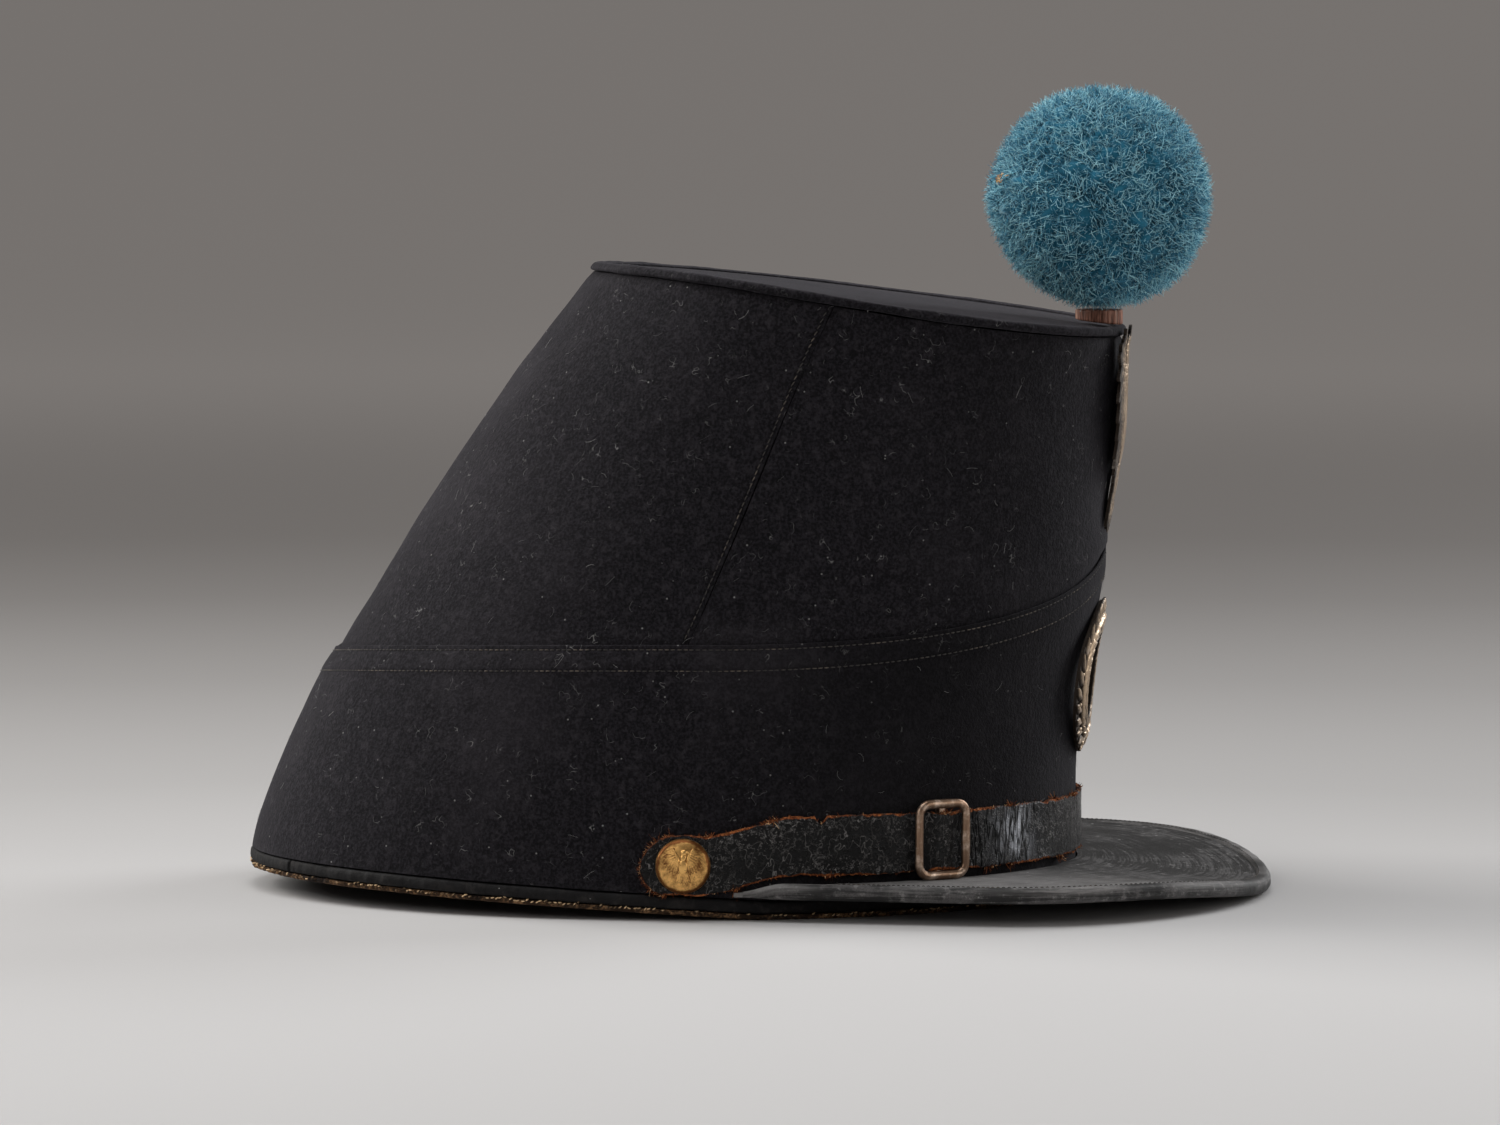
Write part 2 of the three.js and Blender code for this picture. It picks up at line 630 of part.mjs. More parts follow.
// Pompom: a ball with a small flat where it meets its stem
function pompom() {
  const radius = POMPOM_DIAMETER / 2;
  const flat = (STEM_DIAMETER / 2) * POMPOM_FLAT;
  const start = Math.asin(flat / radius);
  const low = radius * Math.cos(start);
  const ball = steps(14, start, Math.PI)
    .slice(0, -1)
    .map((turn) => [radius * Math.sin(turn), low - radius * Math.cos(turn)]);
  return turned([[0, 0], ...ball, [0, low + radius]], 28);
}

// Depth of the front plates' curve: gentler than the wall's, so that their sides stand off it
const plateBend = (y) => (y * y) / (CROWN_WIDTH * PLATE_FLATNESS);

// Eagle: its outline, cut from a curved sheet that stands off the cloth and the welt
function eaglePlate() {
  const low = BAND_FRONT + EAGLE_FOOT;
  const height = FRONT_HEIGHT - EAGLE_DROP - low;
  const gapAt = (z) => {
    const free = EAGLE_STANDOFF * readColumn(EAGLE_GAP, "up", "gap", (z - low) / height);
    const rim = FRONT_HEIGHT - WELT_HEIGHT - CLEARANCE;
    return Math.max(free, mix(0, WELT_PROUD + CLEARANCE, smooth((z - rim) / WELT_HEIGHT + 1)));
  };
  const rows = steps(14, low - 1, low + height + 1).map((z) => {
    const inner = wallPoint(0, Math.min(z, FRONT_HEIGHT), 0).x + gapAt(z);
    const face = (x) =>
      steps(8, -EAGLE_WIDTH * 0.6, EAGLE_WIDTH * 0.6).map((y) => new THREE.Vector3(x - plateBend(y), y, z));
    return [...face(inner + PLATE_THICKNESS), ...face(inner).reverse()];
  });
  const side = (sign) =>
    EAGLE_OUTLINE.map(({ out, up }) => new THREE.Vector2((sign * out * EAGLE_WIDTH) / 2, low + up * height));
  const right = new THREE.SplineCurve(side(1)).getPoints(30);
  const left = new THREE.SplineCurve(side(-1)).getPoints(30).reverse();
  const outline = new THREE.Shape([...right, ...left.slice(1, -1)]);
  const cutter = new THREE.ExtrudeGeometry(outline, { depth: CROWN_LENGTH, bevelEnabled: false });
  const axes = [new THREE.Vector3(0, 1, 0), new THREE.Vector3(0, 0, 1), new THREE.Vector3(1, 0, 0)];
  cutter.applyMatrix4(new THREE.Matrix4().makeBasis(...axes)).translate(CROWN_LEAN, 0, 0);
  return toGeometry(toSolid(loft(rows, false)).intersect(toSolid(cutter)));
}

// Wreath: an oval ring that bows away from the band, with nothing in its middle
function wreathPlate() {
  const rows = around(44).map((turn) => {
    const at = (inset, depth) => {
      const y = (WREATH_WIDTH / 2 - inset) * Math.cos(turn);
      const z = WREATH_MIDDLE + (WREATH_HEIGHT / 2 - inset) * Math.sin(turn);
      const bow = WREATH_STANDOFF * Math.cos(((z - WREATH_MIDDLE) / WREATH_HEIGHT) * Math.PI);
      const inner = wallPoint(0, z, bandOuter + CLEARANCE).x + Math.max(bow, 0);
      return new THREE.Vector3(inner + depth - plateBend(y), y, z);
    };
    return [at(0, PLATE_THICKNESS), at(WREATH_RIM, PLATE_THICKNESS), at(WREATH_RIM, 0), at(0, 0)];
  });
  return loft(rows, true);
}

// Finishes
const finish = (color, roughness, metalness) =>
  new THREE.MeshStandardMaterial({ color, roughness, metalness });
const cloth = finish(0x1b1b20, 0.95, 0);
const leather = finish(0x262524, 0.5, 0);
const rawLeather = finish(0x7a4c2c, 0.9, 0);
const gilt = finish(0xc29a45, 0.35, 1);
const agedBrass = finish(0x8a6e50, 0.45, 1);
const wool = finish(0x2f6f86, 1, 0);
const copper = finish(0x8c4e36, 0.6, 0.2);

const shako = new THREE.Group();

function add(name, geometry, material, seat) {
  const mesh = new THREE.Mesh(geometry, material);
  mesh.name = name;
  if (seat) {
    mesh.position.copy(seat.place);
    mesh.quaternion.setFromRotationMatrix(seat.turn);
  }
  shako.add(mesh);
}

add("crown_front", crownFront(), cloth);
add("crown_back", crownBack(), cloth);
add("crown_top", crownTop(), cloth);
add("top_welt", topWelt(), cloth);
add("band", band(), cloth);
add("base_binding", baseBinding(), leather);
add("raw_edge", rawEdge(), rawLeather);
add("visor", visor(), leather);
add("visor_trim", visorTrim(), leather);
add("chin_strap", chinStrap(), leather);
add("buckle", buckle(), agedBrass, buckleSeat);
const buttonProud = strapInner + STRAP_THICKNESS + CLEARANCE;
for (const [name, side] of [["button_right", -1], ["button_left", 1]]) {
  add(name, button(), gilt, seatOn(side * buttonAngle, strapEnd, buttonProud));
}
add("pompom_stem", stem(), copper);
const pompomPlace = new THREE.Vector3(stemMiddle, 0, stemTop + CLEARANCE);
add("pompom", pompom(), wool, { place: pompomPlace, turn: new THREE.Matrix4() });
add("eagle_plate", eaglePlate(), agedBrass);
add("wreath_plate", wreathPlate(), agedBrass);

// The origin is on the table under the middle of the whole
shako.updateMatrixWorld(true);
const bounds = new THREE.Box3().setFromObject(shako, true);
const middle = bounds.getCenter(new THREE.Vector3());
shako.children.forEach((mesh) => mesh.position.sub(new THREE.Vector3(middle.x, middle.y, bounds.min.z)));

export default shako;
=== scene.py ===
"""Looks of a soldier's cloth shako: wool, leather, stamped plates, gilt buttons, a buckle and a pompom.

Every place is worked out in the frame's metres from the cap's own sizes. "Ahead" is +X, the wearer's
right-hand side is -Y. Angles on the wall are degrees round from the front.
"""
import math

import bpy
import numpy as np
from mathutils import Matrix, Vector


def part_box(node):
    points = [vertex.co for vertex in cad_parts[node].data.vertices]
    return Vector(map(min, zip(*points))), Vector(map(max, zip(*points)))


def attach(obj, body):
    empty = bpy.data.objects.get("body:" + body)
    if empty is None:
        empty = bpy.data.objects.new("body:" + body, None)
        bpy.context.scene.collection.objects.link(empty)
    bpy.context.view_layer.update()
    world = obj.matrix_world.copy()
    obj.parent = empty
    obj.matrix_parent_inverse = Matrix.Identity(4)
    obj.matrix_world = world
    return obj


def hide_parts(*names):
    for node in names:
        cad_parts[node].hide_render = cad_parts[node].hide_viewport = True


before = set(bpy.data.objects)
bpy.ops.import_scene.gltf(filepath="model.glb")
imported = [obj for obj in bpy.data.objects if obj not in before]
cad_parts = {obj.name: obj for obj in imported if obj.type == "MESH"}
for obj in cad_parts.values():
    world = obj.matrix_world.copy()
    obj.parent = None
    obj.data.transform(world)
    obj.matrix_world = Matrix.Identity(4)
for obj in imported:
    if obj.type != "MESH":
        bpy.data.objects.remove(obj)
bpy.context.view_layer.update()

bl_info = {
    "name": "Cloth shako",
    "version": (1, 0, 0),
    "blender": (4, 5, 0),
    "location": "View3D > Sidebar > Shako",
    "description": "Builds the looks of a cloth shako round its fixed frame",
    "category": "Add Mesh",
}

MM = 0.001

# The crown's wall, as the frame has it
BASE_LENGTH = 221.4 * MM
BASE_WIDTH = 165 * MM
CROWN_LENGTH = 142.8 * MM
CROWN_WIDTH = 135.6 * MM
CROWN_LEAN = 54.5 * MM
BACK_HEIGHT = 168.4 * MM
FRONT_HEIGHT = 152.2 * MM
WALL = 2.4 * MM
SEAM_LOW = 92
SEAM_HIGH = 88
SEAM_GAP = 0.12
CLEARANCE = 0.3 * MM
WELT_HEIGHT = 2.5 * MM
WELT_PROUD = 1.3 * MM
TOP_THICKNESS = 1.8 * MM
TOP_SUNK = 0.6 * MM
BAND_THICKNESS = 1.2 * MM
BAND_BACK = 64 * MM
BAND_SIDE = 72 * MM
BAND_FRONT = 92.5 * MM
BAND_SWEEP = 90
BAND_CLIMB = 2.35
BAND_SINK = 1.6
FIRST_ROW = 1.2 * MM  # rows of stitches, below the band's edge
SECOND_ROW = 6.7 * MM
BINDING_HEIGHT = 3.4 * MM
BINDING_PROUD = 0.3 * MM
EDGE_HEIGHT = 1.3 * MM
EDGE_INSET = 0.7 * MM
HEEL_RISE = 5.5 * MM
HEEL_START_RIGHT = 36 * MM
HEEL_START_LEFT = -10 * MM
HEEL_END = 95 * MM
HEEL_CURVE = 1.6

# Visor, strap, buckle and buttons
VISOR_REACH = 52 * MM
VISOR_OVERHANG = 4.4 * MM
VISOR_ANGLE = 75.5
VISOR_SHOULDER = 16 * MM
VISOR_STRAIGHT = 0.42
CORNER_PROUD = 2 * MM
CORNER_THIN = 0.45
VISOR_THICKNESS = 2.4 * MM
VISOR_HEIGHT = 9.2 * MM
VISOR_DROOP = 5.4 * MM
TRIM_THICKNESS = 0.6 * MM
TRIM_WIDTH = 3.2 * MM
STRAP_WIDTH = 16 * MM
STRAP_THICKNESS = 1.4 * MM
STRAP_NECK = 1 * MM
STRAP_TAIL = 11 * MM
DIP_AHEAD = 7.5
DIP_BEHIND = 4.5
BUTTON_DIAMETER = 14.5 * MM
BUTTON_THICKNESS = 3.4 * MM
BUTTON_BEHIND = 7
BUCKLE_ANGLE = -45
BUCKLE_LENGTH = 16.4 * MM
BUCKLE_WIRE = 2 * MM
BUCKLE_BEND = 3 * MM
BUCKLE_SLACK = 0.65 * MM
BAR_THICKNESS = 0.8 * MM
BAR_STAND = 0.15 * MM
BAR_WIDTH = 2 * MM

# Pompom, stem and front plates
POMPOM_DIAMETER = 60.4 * MM
STEM_DIAMETER = 12.6 * MM
STEM_SETBACK = 6 * MM
PLATE_THICKNESS = 0.8 * MM
PLATE_FLATNESS = 1.25
EAGLE_FLATNESS = 6
EAGLE_SET_BACK = 0.45 * MM
EAGLE_WIDTH = 38 * MM
EAGLE_STANDOFF = 2.4 * MM
EAGLE_FOOT = 3.5 * MM
EAGLE_DROP = 0.2 * MM
WREATH_HEIGHT = 41 * MM
WREATH_WIDTH = 43 * MM
WREATH_RIM = 9 * MM
WREATH_MIDDLE = 58 * MM
WREATH_STANDOFF = 1.7 * MM
EAGLE_LOW = BAND_FRONT + EAGLE_FOOT
EAGLE_TALL = FRONT_HEIGHT - EAGLE_DROP - EAGLE_LOW
EMBLEM_HALF = 5.2 * MM  # the eagle on a button: half its width, its height and its middle above its foot
EMBLEM_HEIGHT = 9.6 * MM
EMBLEM_MIDDLE = 4.7 * MM

# Camera, as the photograph was taken: its place and the place it looks at, from the base's middle
CAMERA_PLACE = (253.7 * MM, -2185.4 * MM, 254.5 * MM)
CAMERA_AIM = (24.03 * MM, 0, 87.76 * MM)
CAMERA_LENS = 195.56

# Stage, in metres: the painted pool of light lies this far ahead of the cap, towards the camera
POOL_AHEAD = 0.3
GLOW_STARTS = 1.15  # light on the sweep, by how far off it is
GLOW_ENDS = 3.1
SWEEP_RADIUS = 5.2
SWEEP_CURVE = 1.4
SWEEP_HEIGHT = 4.5
SWEEP_THICKNESS = 0.05
LIT_PLACE = (0.02, 0, 0.09)  # the lights point at it

# Lights: where they stand, how wide and high they are, their watts and their colour
LIGHTS = (
    {"name": "left softbox", "place": (-1.4, 0.35, 0.9), "width": 1.0, "height": 1.0, "watts": 23.5,
     "colour": (1, 0.985, 0.96)},
    {"name": "right softbox", "place": (1.15, 1.0, 0.85), "width": 0.9, "height": 0.9, "watts": 18,
     "colour": (0.97, 0.985, 1)},
    {"name": "top softbox", "place": (-0.2, -0.25, 1.8), "width": 1.6, "height": 1.3, "watts": 17,
     "colour": (1, 1, 1)},
    {"name": "right fill", "place": (1.3, -0.3, 0.35), "width": 0.5, "height": 0.5, "watts": 2.4,
     "colour": (1, 0.99, 0.97)},
    {"name": "front softbox", "place": (-0.9, -2.0, 1.1), "width": 0.9, "height": 0.8, "watts": 5,
     "colour": (1, 0.98, 0.95)},
)
WORLD_COLOUR = (0.9, 0.9, 0.92, 1)
WORLD_STRENGTH = 0.1

# Shares of the wall's way from the base's outline to the rim's, by height as a share of BACK_HEIGHT
WALL_PROFILE = (
    {"up": 0.0, "back": 0.0, "front": 0.0, "side": 0.0},
    {"up": 0.059, "back": 0.004, "front": 0.0, "side": 0.01},
    {"up": 0.118, "back": 0.032, "front": 0.0, "side": 0.03},
    {"up": 0.237, "back": 0.119, "front": 0.039, "side": 0.099},
    {"up": 0.375, "back": 0.24, "front": 0.187, "side": 0.237},
    {"up": 0.457, "back": 0.328, "front": 0.394, "side": 0.335},
    {"up": 0.546, "back": 0.427, "front": 0.562, "side": 0.444},
    {"up": 0.697, "back": 0.601, "front": 0.729, "side": 0.641},
    {"up": 0.838, "back": 0.775, "front": 0.828, "side": 0.829},
    {"up": 1.0, "back": 1.0, "front": 1.0, "side": 1.0},
)

# Bends of the old rim: degrees round, spread in degrees, and rise as a share of BACK_HEIGHT
RIM_BENDS = (
    {"angle": -118, "spread": 50, "rise": 0.0214},
    {"angle": 80, "spread": 45, "rise": -0.0042},
)

# Gap behind the eagle plate, as a share of EAGLE_STANDOFF, by height as a share of the plate's
EAGLE_GAP = (
    {"up": 0.0, "gap": 0.2},
    {"up": 0.2, "gap": 0.45},
    {"up": 0.35, "gap": 0.75},
    {"up": 0.53, "gap": 1.0},
    {"up": 0.75, "gap": 0.85},
    {"up": 1.0, "gap": 0.55},
)

# Tufts of torn fibre on the strap's edges: degrees round, the edge (1 upper, -1 lower) and how many fibres
STRAP_TUFTS = (
    {"angle": -71.2, "edge": 1, "fibres": 60},
    {"angle": -79.8, "edge": 1, "fibres": 26},
    {"angle": -75.4, "edge": -1, "fibres": 46},
    {"angle": -62.1, "edge": -1, "fibres": 24},
    {"angle": -45.2, "edge": 1, "fibres": 44},
    {"angle": -34.9, "edge": -1, "fibres": 34},
    {"angle": -30.6, "edge": 1, "fibres": 30},
    {"angle": -29.8, "edge": -1, "fibres": 30},
    {"angle": -17.4, "edge": 1, "fibres": 34},
    {"angle": -14.6, "edge": -1, "fibres": 60},
    {"angle": -8.5, "edge": 1, "fibres": 30},
    {"angle": 22.0, "edge": -1, "fibres": 30},
    {"angle": 47.0, "edge": 1, "fibres": 34},
    {"angle": 66.0, "edge": -1, "fibres": 40},
)

# Where the strap is torn, and the binding is cracked and lapped, in degrees round
STRAP_TEAR = -64.2
BINDING_CRACK = -148.4
BINDING_LAP = -137.9

WALL_RUN = 0.09  # metres that the wall runs for each radian, roughly
VISOR_RUN = 170 * MM  # half of the visor's edge, roughly
HAIR_SIDES = 3
HAIR_POINTS = 5
NUDGE = 0.01
FULL_TURN = 2 * math.pi


def mix(a, b, share):
    return a + (b - a) * share


def smooth(share):
    share = np.clip(share, 0, 1)
    return share * share * (3 - 2 * share)


def hump(offset, width):
    """1 at no offset, falling smoothly to nothing over the width"""
    return np.exp(-((offset / width) ** 2))


def wrapped(angle, centre=0):
    """Signed way round from one angle to another"""
    return np.arctan2(np.sin(angle - centre), np.cos(angle - centre))


def round_angles(count):
    return np.linspace(0, FULL_TURN, count, endpoint=False)


def squared(turn, power):
    """Out and up, from -1 to 1, round a rounded rectangle, which is squarer the smaller the power"""
    return [np.sign(way) * np.abs(way) ** power for way in (np.cos(turn), np.sin(turn))]


def disc(count):
    """A square grid of places, bent into a disc of radius 1"""
    u, v = np.meshgrid(np.linspace(-1, 1, count), np.linspace(-1, 1, count), indexing="ij")
    return u * np.sqrt(1 - v * v / 2), v * np.sqrt(1 - u * u / 2)


def read_column(table, at, column, value):
    """Smooth reading of one column of a table, whose rows are sorted by the column that "at" names"""
    places = np.array([row[at] for row in table])
    heights = np.array([row[column] for row in table])
    last = len(table) - 1
    before = np.maximum(np.arange(last + 1) - 1, 0)
    after = np.minimum(np.arange(last + 1) + 1, last)
    slopes = (heights[after] - heights[before]) / (places[after] - places[before])
    value = np.asarray(value, float)
    i = np.searchsorted(places[1:last], value)
    span = places[i + 1] - places[i]
    t = (value - places[i]) / span
    curve = mix(heights[i], heights[i + 1], t * t * (3 - 2 * t))
    curve = curve + t * (1 - t) ** 2 * span * slopes[i] + t * t * (t - 1) * span * slopes[i + 1]
    beyond = heights[i + 1] + slopes[i + 1] * (value - places[i + 1])
    return np.where(t < 0, heights[i], np.where(t > 1, beyond, curve))


def bare_wall(angle, z):
    """Points of the crown's outer face"""
    up = z / BACK_HEIGHT
    back, front, side = (read_column(WALL_PROFILE, "up", way, up) for way in ("back", "front", "side"))
    back = mix(-BASE_LENGTH / 2, CROWN_LEAN - CROWN_LENGTH / 2, back)
    front = mix(BASE_LENGTH / 2, CROWN_LEAN + CROWN_LENGTH / 2, front)
    side = mix(BASE_WIDTH / 2, CROWN_WIDTH / 2, side)
    x = (front + back) / 2 + (front - back) / 2 * np.cos(angle)
    y = side * np.sin(angle)
    return np.stack([x, y, z + np.zeros_like(x)], axis=-1)


def unit(vectors):
    return vectors / np.linalg.norm(vectors, axis=-1, keepdims=True)


def wall_normal(angle, z):
    around = bare_wall(angle + NUDGE, z) - bare_wall(angle - NUDGE, z)
    upward = bare_wall(angle, z + NUDGE * MM) - bare_wall(angle, z - NUDGE * MM)
    return unit(np.cross(around, upward))


def wall_point(angle, z, proud):
    """Points at the height z that lie "proud" outside the wall's face, measured square to it"""
    angle, z, proud = np.broadcast_arrays(np.asarray(angle, float), z, proud)
    level = wall_normal(angle, z) * (1, 1, 0)
    away = proud / (level * level).sum(-1)
    return bare_wall(angle, z) + level * away[..., None]


def girth(angle, z):
    """How far the wall's face runs for each radian round it"""
    ends = wall_point(angle + NUDGE, z, 0), wall_point(angle - NUDGE, z, 0)
    return np.linalg.norm(ends[0] - ends[1], axis=-1) / (2 * NUDGE)


def rim_plane(x):
    return mix(BACK_HEIGHT, FRONT_HEIGHT, (x - CROWN_LEAN + CROWN_LENGTH / 2) / CROWN_LENGTH)


def rim_bend(angle):
    total = 0
    for row in RIM_BENDS:
        off = wrapped(angle, math.radians(row["angle"])) / math.radians(row["spread"])
        total = total + row["rise"] * BACK_HEIGHT * np.exp(-off * off)
    return total


def rim_point(angle, proud, drop):
    """Points of the rim, "proud" outside the wall and "drop" below its upper face"""
    angle, proud, drop = np.broadcast_arrays(np.asarray(angle, float), proud, drop)
    z = np.full(angle.shape, BACK_HEIGHT)
    settle = 12
    for _ in range(settle):
        z = rim_plane(wall_point(angle, z, proud)[..., 0]) + rim_bend(angle) - drop
    return wall_point(angle, z, proud)


def crown_height(angle):
    """Upper edge of the crown's cloth, below the welt"""
    return rim_point(angle, 0, WELT_HEIGHT + CLEARANCE)[..., 2]


def base_height(angle):
    """How far the lower edge is off the table"""
    start = mix(HEEL_START_LEFT, HEEL_START_RIGHT, (1 - np.sin(angle)) / 2)
    behind = np.clip((start - bare_wall(angle, np.zeros_like(start))[..., 0]) / (start + HEEL_END), 0, 1)
    return HEEL_RISE * (1 - (1 - behind) ** HEEL_CURVE)


def band_height(angle):
    """Upper edge of the band"""
    turn = np.abs(wrapped(angle))
    behind = np.clip((turn - math.pi / 2) / (math.pi / 2), 0, 1)
    ahead = np.clip(1 - turn / math.radians(BAND_SWEEP), 0, 1)
    return mix(BAND_SIDE, BAND_BACK, behind**BAND_SINK) + (BAND_FRONT - BAND_SIDE) * ahead**BAND_CLIMB


BAND_OUTER = CLEARANCE + BAND_THICKNESS
BINDING_FACE = BAND_OUTER + BINDING_PROUD
EDGE_FACE = BINDING_FACE - EDGE_INSET
STRAP_INNER = BAND_OUTER + CLEARANCE
STRAP_OUTER = STRAP_INNER + STRAP_THICKNESS
STRAP_LIFT = BAR_STAND + BAR_THICKNESS + CLEARANCE + BAR_STAND
BUCKLE_HEIGHT = STRAP_WIDTH - STRAP_NECK + 2 * (BUCKLE_SLACK + CLEARANCE + BUCKLE_WIRE)
STRAP_FRONT = VISOR_HEIGHT + CLEARANCE + BUCKLE_HEIGHT / 2 - BUCKLE_SLACK
BUTTON_ANGLE = math.radians(VISOR_ANGLE + BUTTON_BEHIND)
DIP_START = math.radians(VISOR_ANGLE - DIP_AHEAD)
DIP_END = math.radians(VISOR_ANGLE + DIP_BEHIND)
BAND_AHEAD = BASE_LENGTH / 2 + BAND_OUTER
VISOR_HALF = BASE_WIDTH / 2 + BAND_OUTER + VISOR_OVERHANG

# The frame's origin is under the middle of the whole. This is how far ahead of the base's middle that is.
AHEAD = BASE_LENGTH / 2 + EDGE_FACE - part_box("raw_edge")[1].x


def body_bottom(angle):
    return base_height(angle) + EDGE_HEIGHT + BINDING_HEIGHT + 2 * CLEARANCE


STRAP_END = float(body_bottom(np.array(-BUTTON_ANGLE))) + STRAP_WIDTH / 2


def strap_height(angle):
    return mix(STRAP_FRONT, STRAP_END, smooth((np.abs(angle) - DIP_START) / (DIP_END - DIP_START)))


def seat_on(angle, z, proud):
    """A place on the wall with its axes along it, up it and out of it"""
    out = wall_normal(np.array(float(angle)), np.array(float(z)))
    along = unit(np.cross((0, 0, 1), out))
    return {"place": wall_point(angle, z, proud), "along": along, "up": np.cross(out, along), "out": out}


def onto_seat(seat, along, up, out):
    """Points given along, up and out of a seat"""
    ways = ((along, "along"), (up, "up"), (out, "out"))
    return seat["place"] + sum(np.asarray(far)[..., None] * seat[way] for far, way in ways)


def rumple(points, size, seed):
    """Smooth relief between about -1 and 1 whose bumps are "size" across"""
    draw = np.random.default_rng(seed)
    total = 0
    waves = 12
    for _ in range(waves):
        way = unit(draw.normal(size=points.shape[-1]))
        pitch = FULL_TURN / size * draw.uniform(0.5, 1.4)
        total = total + np.sin(points @ way * pitch + draw.uniform(0, FULL_TURN))
    return total / math.sqrt(waves)


def ripples(points, *rows):
    """Relief of several sizes at once: each row is its height and size in millimetres and its seed"""
    return sum(height * MM * rumple(points, size * MM, seed) for height, size, seed in rows)


# Meshes


def new_mesh(name, points, faces):
    """A mesh from an array of points and a list of arrays of faces, one for each count of corners"""
    mesh = bpy.data.meshes.new(name)
    corners = np.concatenate([f.ravel() for f in faces])
    counts = np.concatenate([np.full(len(f), f.shape[1]) for f in faces])
    mesh.vertices.add(len(points))
    mesh.vertices.foreach_set("co", (points - (AHEAD, 0, 0)).astype(np.float32).ravel())
    mesh.loops.add(len(corners))
    mesh.loops.foreach_set("vertex_index", corners.astype(np.int32))
    mesh.polygons.add(len(counts))
    mesh.polygons.foreach_set("loop_start", np.concatenate([[0], np.cumsum(counts)[:-1]]).astype(np.int32))
    mesh.update(calc_edges=True)
    mesh.validate()
    return mesh


def outward(points, faces):
    """The faces, turned round if they point into the solid"""
    volume = 0.0
    for f in faces:
        for i in range(1, f.shape[1] - 1):
            a, b, c = points[f[:, 0]], points[f[:, i]], points[f[:, i + 1]]
            volume += float((a * np.cross(b, c)).sum())
    return faces if volume > 0 else [f[:, ::-1] for f in faces]


def grid(rows, columns, ring_rows=False, ring_columns=False):
    """Square faces between the points of a grid"""
    i = np.arange(rows if ring_rows else rows - 1)[:, None]
    j = np.arange(columns if ring_columns else columns - 1)[None, :]
    k, m = (i + 1) % rows, (j + 1) % columns
    return np.stack([i * columns + j, k * columns + j, k * columns + m, i * columns + m], -1).reshape(-1, 4)


def shell(points, ring):
    """A solid of closed sections, joined in a ring or capped at both ends"""
    rows, count = points.shape[:2]
    faces = [grid(rows, count, ring, True)]
    if not ring:
        first = np.arange(count)[None, :]
        faces += [first, (rows - 1) * count + first[:, ::-1]]
    flat = points.reshape(-1, 3)
    return flat, outward(flat, faces)


def slab(top, bottom):
    """A solid between two grids of points of the same size"""
    rows, columns = top.shape[:2]
    count = rows * columns
    upper = grid(rows, columns)
    edge = np.concatenate([
        np.arange(columns),
        np.arange(1, rows) * columns + columns - 1,
        (rows - 1) * columns + np.arange(columns - 2, -1, -1),
        np.arange(rows - 2, 0, -1) * columns,
    ])
    after = np.roll(edge, -1)
    sides = np.stack([edge, after, after + count, edge + count], -1)
    flat = np.concatenate([top.reshape(-1, 3), bottom.reshape(-1, 3)])
    return flat, outward(flat, [np.concatenate([upper, upper[:, ::-1] + count, sides])])


def tubes(paths, radii, sides, lean):
    """Closed tubes along many paths, an array of (tubes, points, 3), with their radii. "lean" is a direction
    that no path runs along, for each tube or for all."""
    count, length = paths.shape[:2]
    run = unit(np.gradient(paths, axis=1) + 1e-12)
    first = unit(np.cross(run, np.broadcast_to(lean, (count, 3))[:, None, :]))
    second = np.cross(run, first)
    turn = np.arange(sides) / sides * FULL_TURN
    radii = np.broadcast_to(radii, (count, length))[:, :, None, None]
    spoke = first[:, :, None] * np.cos(turn)[:, None] + second[:, :, None] * np.sin(turn)[:, None]
    points = (paths[:, :, None] + radii * spoke).reshape(-1, 3)
    start = (np.arange(count) * length * sides)[:, None, None]
    walls = (start + grid(length, sides, False, True)[None]).reshape(-1, 4)
    cap = np.arange(sides)
    ends = start[:, 0] + cap[None], start[:, 0] + (length - 1) * sides + cap[None, ::-1]
    return points, outward(points, [walls, np.concatenate(ends)])


def joined(solids):
    """Several solids as one list of points and faces"""
    points, faces, start = [], {}, 0
    for places, sheets in solids:
        points.append(places)
        for f in sheets:
            faces.setdefault(f.shape[1], []).append(f + start)
        start += len(places)
    return np.concatenate(points), [np.concatenate(f) for f in faces.values()]


def make(name, solid, material, replaces=(), attributes=None, sharp=50):
    """A finished piece of the cap"""
    mesh = new_mesh(name, *solid)
    for key, values in (attributes or {}).items():
        kind, field = ("FLOAT", "value") if values.ndim == 1 else ("FLOAT_VECTOR", "vector")
        layer = mesh.attributes.new(key, kind, "POINT")
        layer.data.foreach_set(field, values.astype(np.float32).ravel())
    mesh.shade_smooth()
    mesh.set_sharp_from_angle(angle=math.radians(sharp))
    mesh.materials.append(material)
    piece = bpy.data.objects.new(name, mesh)
    bpy.context.scene.collection.objects.link(piece)
    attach(piece, "root")
    if replaces:
        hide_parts(*replaces)
    return piece


def stitches(places, along, out, length, radius):
    """Short stitches that dip into the cloth at both ends"""
    t = np.linspace(0, 1, 5)
    rise = (np.sin(math.pi * t) * 1.5 - 0.75) * radius
    paths = places[:, None] + along[:, None] * ((t - 0.5) * length)[:, None] + out[:, None] * rise[:, None]
    return tubes(paths, radius * (0.45 + 0.55 * np.sin(math.pi * t)), 5, out)


def hairs(roots, ways, outs, lengths, radius, draw, curl):
    """Loose fibres that start at their roots and curl at random"""
    t = np.linspace(0, 1, HAIR_POINTS)
    swing = unit(draw.normal(size=roots.shape) - 0.2 * outs)
    bend = draw.normal(size=(len(roots), 1, 1)) * curl
    curve = ways[:, None] * t[:, None] + bend * swing[:, None] * (t * t)[:, None]
    paths = roots[:, None] + lengths[:, None, None] * curve
    lean = unit(np.cross(ways, swing) + 1e-9)
    return tubes(paths, radius * (1.05 - 0.75 * t), HAIR_SIDES, lean)


